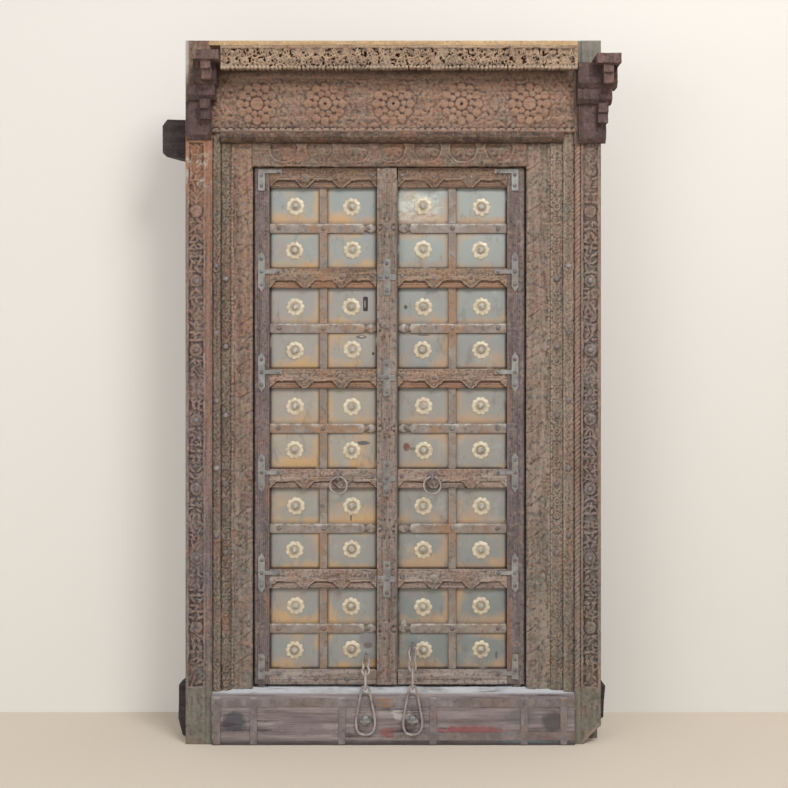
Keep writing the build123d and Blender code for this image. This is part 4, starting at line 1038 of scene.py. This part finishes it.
def rail_form(side, number, low, high):
    """One rail: foliage, two fillets, arches over dark reeds and a drop below each nail. The last is plain."""
    x0, x1 = leaf_edges(side)
    seed = 90 + number + (20 if side == "right" else 0)
    last = number == 5
    carving = Carving(x0, x1, low, high, 2.5, -1.0 if last else -3.6, seed, 0.8)
    middle = (x0 + x1) / 2
    if last:
        carving.foliage(middle - 62, middle - 18, low + 22, high - 3, 13, 2.0, -1.4, 3)
        carving.h -= 1.8 * (np.abs(carving.v - low - 15) < 1.2)
        carving.weather(1.6, grain_up=False)
        carving.h -= 3.0 * np.clip(value_noise(carving.x, carving.z * 5, 60, carving.seed + 9) - 0.6, 0, 1)
    else:
        carving.foliage(x0, x1, high - 27, high - 3, 13, 4.0, -3.8, 3)
        carving.box(x0, x1, high - 3, high, -0.5)
        for offset in (28.5, 34.0):
            carving.stroke([(x0, high - offset), (x1, high - offset)], 4.6, 3.4, -3.0)
        drops = [middle - DROP_OFFSET, middle + DROP_OFFSET]
        away = np.minimum.reduce([np.abs(carving.u - x) for x in drops])
        side_away = np.minimum(carving.u - x0, x1 - carving.u)
        reach = np.maximum(1 - away / 34, 0.75 * (1 - side_away / 26))
        arch = high - 40 - 26 * smooth_step(0.0, 1.0, np.clip(reach, 0, 1)) ** 0.8
        under = carving.v < arch
        reeds = -9.0 + 3.4 * np.abs(np.sin(math.pi * (high - carving.v) / 7.5))
        carving.h = np.where(np.abs(carving.v - arch - 2.2) < 2.4, 0.6, carving.h)
        for x in drops:
            carving.dome(x, high - 31, 15, 4.4, -2.8, 0.25)
        carving.h = np.where(under, reeds, carving.h)
        for x in drops:
            carving.dome(x, high - 31, 9, 6.0, -4.0, 0.25)
            for spread in (-76, -40, 0, 40, 76):
                length = 25 - abs(spread) * 0.05
                carving.leaf(x, high - 34, -90 + spread, length, 10, 7.6, -6.0, veins=0.2)
        for x, turn in ((x0, 1), (x1, -1)):
            for spread in (-70, -35, 0):
                carving.leaf(x, high - 36, 90 + turn * (spread - 90), 24, 10, 7.0, -6.0, veins=0.2)
        golden = 0.5 if number in (1, 2) else 0.15
        carving.paint("warm", golden * under + 0.25 * (~under) * smooth_step(-0.1, 0.6, carving.noise(80, 30)))
        # Painted shade on the reeds just under the lip of each arch.
        carving.paint("dark", 0.45 * under * smooth_step(arch - 9, arch, carving.v))
        carving.weather(0.8, grain_up=False)
    if number == 0:
        carving.paint("dark", np.full_like(carving.h, 0.3))
    carving.h = np.clip(carving.h, RAIL_FACE - SHEET_FACE + 0.4, 2.0)
    return carved_mesh(carving, RAIL_FACE, BOARD_FACE)


def rails(side):
    """The six rails of one leaf, in three pieces."""
    forms = [rail_form(side, number, low, high) for number, (low, high) in enumerate(rail_list(side))]
    for node, parts in (("top_rail", forms[:1]), ("middle_rails", forms[1:-1]), ("bottom_rail", forms[-1:])):
        replaced = [f"{side}_{node}"]
        new_piece(f"{side}_{node}_carved", joined(parts), "rail", f"{side}_leaf", replaced)


def meeting_stile():
    """Six flutes and a fillet, with a carved block beside each strap and leaves where a rail meets it."""
    carving, x0, x1, _, _ = carving_on("left_meeting_stile", 2.6, -1.0, 120, 0.6)
    middle, width = (x0 + x1) / 2, x1 - x0
    across = (carving.u - x0) / width
    flutes = np.abs(np.sin(math.pi * 6 * (across - 0.12) / 0.76)) ** 0.6
    carving.h = np.where((across > 0.12) & (across < 0.88), -3.4 + 2.6 * flutes, -0.8)
    carving.h -= 1.5 * (np.abs(across - 0.94) < 0.02)
    half = width / 2 - 3
    for z in panel_middles():
        carving.box(middle - half, middle + half, z - 38, z + 38, -2.0, 2)
        for turn in (-1, 1):
            for flank in (-1, 1):
                carving.leaf(middle, z, 90 - 90 * turn + 48 * turn * flank, 38, 17, 4.4, -2.0, veins=0.25)
                carving.dent(middle + flank * (half - 6), z + turn * 8, 5, 3.5)
                carving.dent(middle + flank * 8, z + turn * 30, 4.5, 3.0)
            carving.leaf(middle, z, 90 * turn, 33, 12, 4.0, -2.0)
        carving.dome(middle, z, 13, 5.0, -2.0, 0.3)
    half = width / 2 - 2
    for low, high in rail_list("left"):
        carving.box(middle - half, middle + half, low - 4, high + 4, -1.6, 2)
        carving.foliage(middle - half, middle + half, low, high, 15, 3.6, -1.8, 7)
    carving.weather(1.0)
    carving.h = np.minimum(carving.h, 2.5)
    carved_piece("meeting_stile_carved", carving, RAIL_FACE - 6, "meeting", "left_leaf")


STILE_FOOT = 187.0
STILE_HEAD = 1887.0
STILE_BACK = 36.5


def pivot_stile(side):
    """The carved face of the outer stile, on a worn copy of its solid."""
    (x0, _, _), (x1, _, _) = node_box(f"{side}_pivot_stile")
    body = f"{side}_leaf"
    inner, outer = (x1, x0) if side == "left" else (x0, x1)
    start, end = sorted((outer - OUTWARD[side] * 3, inner))
    seed = 130 if side == "left" else 133
    carving = Carving(start, end, STILE_FOOT, STILE_HEAD, 3.0, seed=seed, wander=0.6)
    away = np.abs(carving.u - inner)
    reeds = np.abs(np.sin(math.pi * away / 6.5)) ** 0.8
    carving.h = np.where(away < 39, -4.6 + 3.8 * reeds, -0.6 - 0.8 * (away < 42))
    for z in panel_middles():
        near = np.abs(carving.v - z) < 24
        carving.h = np.where(near & (away < 41), -2.0 + 1.6 * carving.noise(9, 12), carving.h)
    carving.h -= 1.6 * np.clip(carving.noise(14, 13), 0, 1) * (away > 42)
    carving.paint("warm", 0.5 * (away < 14) * smooth_step(0.2, 0.6, carving.noise(90, 14)))
    carving.weather(1.0)
    carving.h = np.minimum(carving.h, 0.0)
    form = carved_mesh(carving, RAIL_FACE, STILE_BACK + 0.5)
    worn = refined(f"{side}_pivot_stile", "stile", body, 1.0, 0.3, 70)
    for vertex in worn.data.vertices:
        x, y, z = vertex.co / MM
        if y < STILE_BACK + 1 and start - 0.5 < x < end + 0.5 and STILE_FOOT - 1 < z < STILE_HEAD + 1:
            vertex.co.y = STILE_BACK * MM
    new_piece(f"{side}_pivot_stile_face", form, "stile", body, ())


def sheets(side):
    """The iron sheets, dished between their bars, stained towards them and dented."""
    x0, x1 = leaf_edges(side)
    places = rail_list(side)
    middle = (x0 + x1) / 2
    forms = []
    for number in range(5):
        low, high = places[number + 1][1], places[number][0]
        carving = Carving(x0, x1, low, high + 14, 9.0, seed=140 + number + (30 if side == "right" else 0))
        centre = (low + high) / 2
        across = np.minimum(np.minimum(carving.x - x0, x1 - carving.x), np.abs(carving.x - middle) - 12)
        along = np.minimum(np.minimum(carving.z - low, high - carving.z), np.abs(carving.z - centre) - 15)
        corner = np.hypot(np.clip(18 - across, 0, None), np.clip(18 - along, 0, None))
        away = np.clip(np.minimum(np.minimum(across, along), 18 - corner + 1), 0, None)
        carving.h = -1.1 + 1.7 * smooth_step(0, 22, away)
        carving.h += 0.5 * carving.noise(60, 1) + 0.25 * carving.noise(21, 2)
        near_bar = smooth_step(46, 4, np.abs(carving.x - middle))
        near_foot = smooth_step(60, 0, np.minimum(np.abs(carving.z - low), np.abs(carving.z - centre - 15)))
        carving.paint("warm", np.maximum(near_bar, 0.9 * near_foot))
        if side == "right" and number == 0:
            smear = smooth_step(middle - 10, middle - 70, carving.x) * carving.up(centre + 8, centre + 50)
            carving.paint("pale", 0.75 * smear)
        vertices, faces, attributes = carved_mesh(carving, SHEET_FACE, BOARD_FACE)
        none = np.zeros(len(vertices))
        edges = none.copy()
        # Grime and painted shade along the edges of each field, where it meets the rails, the bar and the
        # strap.
        edges[:away.size] = smooth_step(9, 0, away).reshape(-1)
        forms.append((vertices, faces, attributes | {"hollow": edges, "high": none}))
    form = joined(forms)
    new_piece(f"{side}_sheet_iron", form, f"sheet_{side}", f"{side}_leaf", [f"{side}_sheets"])


BOSS_PROFILE = [(0, 12.5), (3.5, 12.2), (7, 10.4), (9.3, 7.2), (10.4, 4.0), (12, 2.9), (15, 2.9), (18.6, 6.4),
                (22, 4.8), (26.5, 4.4), 
                (29.5, 2.8), (31, 0.0)]
LOWEST_BOSSES = 420.0
NAIL_PROFILE = [(0, 1), (0.4, 0.9), (0.72, 0.62), (0.94, 0.25)]
BARREL_PROFILE = [(0, 9.0), (5, 8.6), (9, 7.0), (12, 4.0), (13.5, 0.0)]


def bosses(side):
    """Notched brass flowers with a raised ring and an iron dome."""
    forms = []
    for x, _, z, _ in component_centres(f"{side}_bosses"):
        petals = 8 + int(rng.integers(0, 3))
        turn = rng.uniform(0, 6.28)
        sharp = 0.8 if z < LOWEST_BOSSES else 0.42

        def notches(angles, power):
            return np.abs(np.cos(petals * (angles - turn) / 2)) ** power

        points, faces = polar_form(BOSS_PROFILE, lambda angles: 0.87 + 0.13 * notches(angles, sharp), 48)
        radius = np.hypot(points[:, 0], points[:, 2])
        seam = 1 - notches(np.arctan2(points[:, 2], points[:, 0]), 0.4)
        on_petal = (radius > 21) & (radius < 30)
        points[:, 1] += np.where(on_petal, 1.8 * seam, 0)
        worn = rng.uniform(0.6, 1.0)
        # Painted shade in the seams between the petals; the brown ring round the dome is the brass's own
        # colour.
        shade = np.where(on_petal, 0.5 * seam, 0.0)
        shade = np.where((radius > 10.2) & (radius < 17), 0.8 * worn, shade)
        shade = np.where((radius > 17) & (radius < 19.2), 0.25, shade)
        wobble = rng.uniform(-2.5, 2.5, 2)
        points += [x + wobble[0], SHEET_FACE + 0.5, z + wobble[1]]
        forms.append((points, faces, {"hollow": shade, "centre": (radius < 10).astype(float)}))
    new_piece(f"{side}_flower_bosses", joined(forms), "brass", f"{side}_leaf", [f"{side}_bosses"])


def nail_forms(places, radius=7.0, height=5.0):
    """Domed nail heads on a front face, each a little out of round."""
    profile = [(radius * share, height * tall) for share, tall in NAIL_PROFILE] + [(radius, -0.6)]
    forms = []
    for place in places:
        stretch = rng.uniform(0.88, 1.12)
        points, faces = polar_form(profile, lambda angles: 1 + (stretch - 1) * np.cos(2 * angles), 14)
        forms.append((points + place, faces, {}))
    return forms


def component_centres(node):
    """Each separate solid in a CAD node, as the x, rear y and z of its middle, and its height."""
    work = bmesh.new()
    work.from_mesh(frame["nodes"][node].data)
    bmesh.ops.remove_doubles(work, verts=work.verts, dist=WELD)
    seen, centres = set(), []
    for vertex in work.verts:
        if vertex in seen:
            continue
        stack, part = [vertex], []
        seen.add(vertex)
        while stack:
            current = stack.pop()
            part.append(current.co / MM)
            for edge in current.link_edges:
                other = edge.other_vert(current)
                if other not in seen:
                    seen.add(other)
                    stack.append(other)
        low, high = np.min(part, axis=0), np.max(part, axis=0)
        centres.append(((low[0] + high[0]) / 2, high[1], (low[2] + high[2]) / 2, high[2] - low[2]))
    work.free()
    return sorted(centres)


def rail_nails(side):
    """The small nails of one leaf's plates, rails and stiles."""
    x0, x1 = leaf_edges(side)
    sign = OUTWARD[side]
    edge = x0 if side == "left" else x1
    middle = (x0 + x1) / 2
    face = RAIL_FACE - 2.5
    places = []
    for number, (low, high) in enumerate(rail_list(side)):
        offsets = (-48, -12) if number == 0 else (12, 48) if number == 5 else (-42, 0, 42)
        places += [(edge + sign * 25.5, face, high - 11 + offset) for offset in offsets]
        places.append((edge - sign * 30, face, high - 11))
        if number < 5:
            places += [(middle + turn * DROP_OFFSET, RAIL_FACE - 1.6, high - 31) for turn in (-1, 1)]
            places.append(((x1 - 14) if side == "left" else (x0 + 14), RAIL_FACE - 0.6, high - 24))
        else:
            places += [(middle + offset, RAIL_FACE + 0.6, low + 18) for offset in (-110, -25, 75)]
    if side == "left":
        stile = node_box("left_meeting_stile")
        x = (stile[0][0] + stile[1][0]) / 2
        for low, high in rail_list(side)[1:-1]:
            places += [(x, RAIL_FACE - 8.5, high - 30 + offset) for offset in (-45, 0, 45)]
            places += [(x - 22, RAIL_FACE - 8.5, high - 30)]
    return places


def nails():
    """Every domed nail: large ones where the solids have them, and small ones on the plates and rails."""
    for node, body in (("frame_nails", "frame"), ("left_leaf_nails", "left_leaf"),
                       ("right_leaf_nails", "right_leaf")):
        swell = 1.4 if node == "frame_nails" else 1.05
        forms = []
        for x, y, z, size in component_centres(node):
            place = (x + rng.uniform(-1, 1), y, z + rng.uniform(-1, 1))
            forms += nail_forms([place], size / 2 * swell * rng.uniform(0.88, 1.08))
        if body != "frame":
            forms += nail_forms(rail_nails(body.split("_")[0]), 6.2, 4.4)
        new_piece(f"{node}_domed", joined(forms), "nail", body, [node])


def joint_place(name):
    """A joint's place in millimetres."""
    for joint in frame["joints"]:
        if joint["name"] == name:
            return np.array(joint["pos_m"]) / MM
    raise KeyError(name)


WIRE = 8.5
RING_WIRE = 6.5
LOOP_RUNS = [(0.0, 0.0), (0.3, 0.0), (0.75, 0.02), (1.0, 0.09), (1.35, 0.3), (1.75, 0.55), (2.0, 0.72),
             (1.9, 0.86), (1.5, 0.965), (0.7, 1.0)]


def oval_path(half_width, half_length, waist=0.0, steps=40):
    """An upright oval on X and Z, pinched at its waist for a figure of eight."""
    angles = 2 * math.pi * np.arange(steps) / steps
    c, s = np.cos(angles), np.sin(angles)
    x = half_width * np.sign(c) * np.abs(c) ** 0.8
    z = half_length * np.sign(s) * np.abs(s) ** 0.85
    pinch = 1 - waist * np.exp(-((z / (half_length * 0.35)) ** 2))
    return np.stack([x * pinch, np.zeros(steps), z], axis=1)


def loop_path(length, top_half, foot_half):
    """The long loop: narrow and round at its top, widest low down, and nearly flat at its foot."""
    half = [(top_half * min(w, 1) + (foot_half - top_half) * max(0, w - 1), 0.0, -length * z) for w,
            z in LOOP_RUNS]
    path = np.array(half + [(-x, y, z) for x, y, z in reversed(half[1:])])
    for _ in range(3):
        after = np.roll(path, -1, axis=0)
        path = np.stack([0.75 * path + 0.25 * after, 0.25 * path + 0.75 * after], axis=1).reshape(-1, 3)
    return path


def between(points, top, foot, edge_on):
    """Places an upright path so that it runs from one bar's middle to the other's."""
    down = (foot - top) / np.linalg.norm(foot - top)
    across = np.array([1.0, 0, 0])
    out = np.cross(across, down)
    if edge_on:
        across, out = out, across
    return (top + foot) / 2 + points[:, :1] * across - points[:, 2:] * down + points[:, 1:2] * out


def chain_piece(name, path, node, wire=WIRE):
    """A hand-forged bar: round, and a little uneven along its length."""
    vertices, faces = tube(path, wire / 2 - 0.1, 12)
    centre = np.repeat(path, 12, axis=0)
    swell = 0.93 + 0.07 * value_noise(vertices[:, 0], vertices[:, 2], 9, 5)
    form = centre + (vertices - centre) * swell[:, None], faces, {}
    new_piece(name, form, "chain", node, [node])


def chains():
    """The chains of two links and a long loop, and the pull rings."""
    for side in SIDES:
        joints = (f"{side}_{joint}_swing" for joint in ("link", "joining_link", "hasp_loop"))
        eye, first_foot, loop_top = map(joint_place, joints)
        half = np.linalg.norm(first_foot - eye) / 2
        step = (first_foot - eye) / (2 * half) * (WIRE + 0.7)
        chain_piece(f"{side}_link_bar", between(oval_path(13.5, half, 0.5), eye, first_foot, False),
                    f"{side}_link")
        top, foot = first_foot - step, loop_top + step
        half = np.linalg.norm(foot - top) / 2
        path = between(oval_path(12.5, half, 0.3), top, foot, True)
        chain_piece(f"{side}_joining_link_bar", path, f"{side}_joining_link")
        low, high = node_box(f"{side}_hasp_loop")
        path = loop_path(high[2] - low[2] - WIRE, 13.0, 31.5) + [loop_top[0], loop_top[1], high[2] - WIRE / 2]
        chain_piece(f"{side}_hasp_loop_bar", path, f"{side}_hasp_loop")
        low, high = np.array(node_box(f"{side}_ring"))
        radius = (high[2] - low[2] - RING_WIRE) / 2
        angles = np.linspace(0, 2 * math.pi, 48, endpoint=False)
        ring = np.stack([radius * np.cos(angles), 0 * angles, radius * np.sin(angles)],
                        axis=1) + (low + high) / 2
        chain_piece(f"{side}_pull_ring", ring, f"{side}_ring", RING_WIRE)


def barrels():
    """The rounded iron knob over each of the sill's staples."""
    forms = []
    for low, high in [node_box(f"{side}_hasp_loop") for side in SIDES]:
        points, faces = polar_form(BARREL_PROFILE, None, 24)
        points[:, 2] *= 1.35
        forms.append((points + [(low[0] + high[0]) / 2, -14.0, 82.0], faces, {}))
    new_piece("staple_barrels", joined(forms), "iron", "frame", ())


def cross_plate(x, y, z):
    """The plates on the meeting stile are duller than those at the pivots."""
    return 0.2 * ((x > -60) & (x < 14) & (z > 300))


def strap_top(x, y, z):
    """Pale along the upper edge of each strap: flecks of worn paint, and painted highlight where the light from
    above catches the edge.
    """
    near = np.min([np.abs(z - middle - 14) for middle in panel_middles()], axis=0)
    return 0.8 * (near < 3.5) * (y < 49)


def ovolo_leaves(x, y, z):
    """Faint leaves, nearly worn away."""
    return 0.6 * (np.abs(value_noise(x, z + y, 11, 5)) < 0.16)


def sill_pale(x, y, z):
    """Pale dust on top of the sill's irons."""
    return smooth_step(150, 158, z)


def sill_warm(x, y, z):
    """Rust on the strap near the middle."""
    return 0.9 * ((x > -47) & (x < -14) & (z > 120))


def build():
    """Every piece of the door. The random draws follow this order."""
    for side in SIDES:
        leaf = f"{side}_leaf"
        outer_post(side)
        outer_band(side)
        middle_band(side)
        vine_jamb(side)
        rails(side)
        pivot_stile(side)
        sheets(side)
        bosses(side)
        refined(f"{side}_rear_post", "rear", "frame", 3, 1.2, 45)
        # The bracket's parts that stand less than 70 mm out from the post are darkened as painted shade.
        refined(f"{side}_bracket", "bracket", "frame", 4.5, 2.4, 7,
                paints={"dark": lambda x, y, z: 0.45 * (y > -70)})
        refined(f"{side}_boards", "boards", leaf, 1.5, 0.8, 80)
        refined(f"{side}_bars", "strap", leaf, 1.6, 0.5, 14)
        refined(f"{side}_straps", "strap", leaf, 1.6, 0.5, 18, {"pale": strap_top})
        refined(f"{side}_plates", "iron", leaf, 0.9, 0.4, 9, {"dark": cross_plate})
        refined(f"{side}_eyes", "iron_dark", leaf, 0.8, 0.2, 8)
    rope()
    lintel()
    frieze()
    cornice()
    meeting_stile()
    nails()
    chains()
    refined("ovolo_moulding", "ovolo", "frame", 1.5, 2.4, 8, paints={"dark": ovolo_leaves})
    refined("cornice_board", "raw", "frame", 1.5, 1.2, 40)
    refined("head_beam", "beam", "frame", 6, 2.5, 40)
    refined("ground_beam", "beam", "frame", 6, 2.5, 40)
    refined("sill_irons", "iron_dark", "frame", 0.8, 0.5, 18, {"pale": sill_pale, "warm": sill_warm})
    refined("sill_staples", "iron", "frame", 1.0, 0.3, 8)
    refined("sill", "sill", "frame", 5, 2.2, 30)


SILL_LAYERS = (
    (26, 108, 36, 28, 0.9, 0.75, (198, 192, 186)),
    (255, 42, 122, 24, 1.1, 0.85, (150, 88, 88)),
    (-13, 41, 34, 20, 1.0, 0.75, (148, 92, 92)),
    (440, 16, 150, 11, 0.9, 0.75, (150, 184, 188)),
    (415, 90, 60, 30, 1.1, 0.6, (110, 108, 106)),
    (520, 76, 42, 40, 0.6, 0.8, (80, 78, 78)),
    (-518, 76, 46, 36, 0.6, 0.85, (78, 80, 88)),
    (-300, 60, 90, 30, 1.2, 0.5, (126, 112, 116)),
)


def sill_paint():
    """Mauve-brown worn timber, with old white, red and turquoise paint left in patches."""
    n = Nodes("sill_paint")
    fibre = n.noise(50.0, 8.0, 0.7, stretch=GRAIN_ACROSS, shift=21)
    colour = n.mix(n.ramp(fibre, [(0.35, 0.0), (0.65, 1.0)]), linear(112, 100, 100), linear(170, 158, 156))
    axes = n.axes()
    height = n.math("MULTIPLY", axes["Z"], 4.0)
    patches = n.noise(11.0, 6.0, 0.7, stretch=(0.5, 1, 1), shift=24)
    near_top = n.ramp(height, [(0.65, 0.0), (0.672, 1.0)])
    pale = n.math("MULTIPLY", near_top, n.ramp(patches, [(0.36, 0.35), (0.5, 1.0)]))
    colour = n.mix(pale, colour, linear(200, 202, 206))
    for x, z, half_x, half_z, ragged, share, shade in SILL_LAYERS:
        amount = n.math("MULTIPLY", spot(n, axes, x, z, half_x, half_z, 2.0, ragged), share)
        colour = n.mix(amount, colour, linear(*shade))
    colour = n.mix(n.ramp(height, [(0.03, 0.85), (0.09, 0.0)]), colour, linear(62, 58, 58))
    streak = n.noise(34.0, 6.0, 0.75, stretch=(0.12, 1, 1), shift=31)
    colour = n.mix(n.ramp(streak, [(0.36, 0.8), (0.46, 0.0)]), colour, linear(66, 54, 56))
    grit = n.math("ADD", fibre, n.noise(100.0, 5.0, 0.7))
    return n.finish(colour, 0.75, (grit, 0.7, 2.0))


# Stage, camera and light
VIEW_WIDTH = 2570.5
CAMERA_DISTANCE = 3600.0
CAMERA_X = 2.45
CAMERA_HEIGHT = 1143.0
STAGE_PLANES = (
    ("floor", [(-6, -7, 0), (6, -7, 0), (6, 0.4, 0), (-6, 0.4, 0)], (226, 214, 198), 0.04),
    ("backdrop", [(-6, 0.366, 0), (6, 0.366, 0), (6, 0.366, 6), (-6, 0.366, 6)], (230, 227, 221), 0.1),
)


def plain(name, colour, shown):
    """A plain stage material, seen from its front only. Camera and mirrors see it raised by its shown share."""
    n = Nodes(name)
    settings = {"Base Color": colour, "Roughness": 0.95, "Specular IOR Level": 0.1, "Emission Color": colour}
    for socket, value in settings.items():
        n.shader.inputs[socket].default_value = value
    rays = n.add("ShaderNodeLightPath").outputs
    seen = rays["Is Camera Ray"]
    for ray in ("Is Glossy Ray", "Is Transmission Ray"):
        seen = n.math("MAXIMUM", seen, rays[ray])
    n.link(n.math("MULTIPLY", seen, shown), n.shader.inputs["Emission Strength"])
    sides = n.add("ShaderNodeMixShader")
    n.link(n.add("ShaderNodeNewGeometry").outputs["Backfacing"], sides.inputs[0])
    n.link(n.shader.outputs[0], sides.inputs[1])
    n.link(n.add("ShaderNodeBsdfTransparent").outputs[0], sides.inputs[2])
    n.link(sides.outputs[0], n.tree.nodes["Material Output"].inputs["Surface"])
    return n.material


def stage():
    """The floor, and a wall close behind the door."""
    for name, corners, colour, shown in STAGE_PLANES:
        mesh = bpy.data.meshes.new(name)
        mesh.from_pydata(corners, [], [(0, 1, 2, 3)])
        item = bpy.data.objects.new(mesh.name, mesh)
        mesh.materials.append(plain(mesh.name + "_plain", linear(*colour), shown))
        bpy.context.scene.collection.objects.link(item)


def area_light(name, place, aim, size, power, colour=(1, 1, 1)):
    """A round lamp turned towards a point."""
    data = bpy.data.lights.new(name, "AREA")
    data.shape = "DISK"
    data.size = size
    data.energy = power
    data.color = colour
    lamp = bpy.data.objects.new(name, data)
    bpy.context.scene.collection.objects.link(lamp)
    lamp.location = place
    lamp.rotation_euler = (Vector(aim) - Vector(place)).to_track_quat("-Z", "Y").to_euler()


def light_and_camera():
    """An even world, a key light from the upper right, a soft fill, and a camera square to the front."""
    scene = bpy.context.scene
    scene.view_settings.view_transform = "Standard"
    world = bpy.data.worlds.new("studio")
    scene.world = world
    world.use_nodes = True
    back = world.node_tree.nodes["Background"]
    back.inputs["Color"].default_value = (0.99, 0.995, 1.0, 1)
    back.inputs["Strength"].default_value = 0.46
    area_light("key", (1.5, -3.2, 4.6), (0, 0, 1.1), 1.8, 125, (1.0, 0.99, 0.975))
    area_light("fill", (-2.8, -3.8, 1.8), (0, 0, 1.0), 3.0, 45)
    data = bpy.data.cameras.new("camera")
    data.sensor_width = 36
    data.lens = 36 * CAMERA_DISTANCE / VIEW_WIDTH
    camera = bpy.data.objects.new("camera", data)
    scene.collection.objects.link(camera)
    camera.location = (CAMERA_X * MM, -CAMERA_DISTANCE * MM, CAMERA_HEIGHT * MM)
    camera.rotation_euler = (math.radians(90), 0, 0)
    scene.camera = camera


light_and_camera()
stage()
materials["sill"] = sill_paint()
build()
barrels()
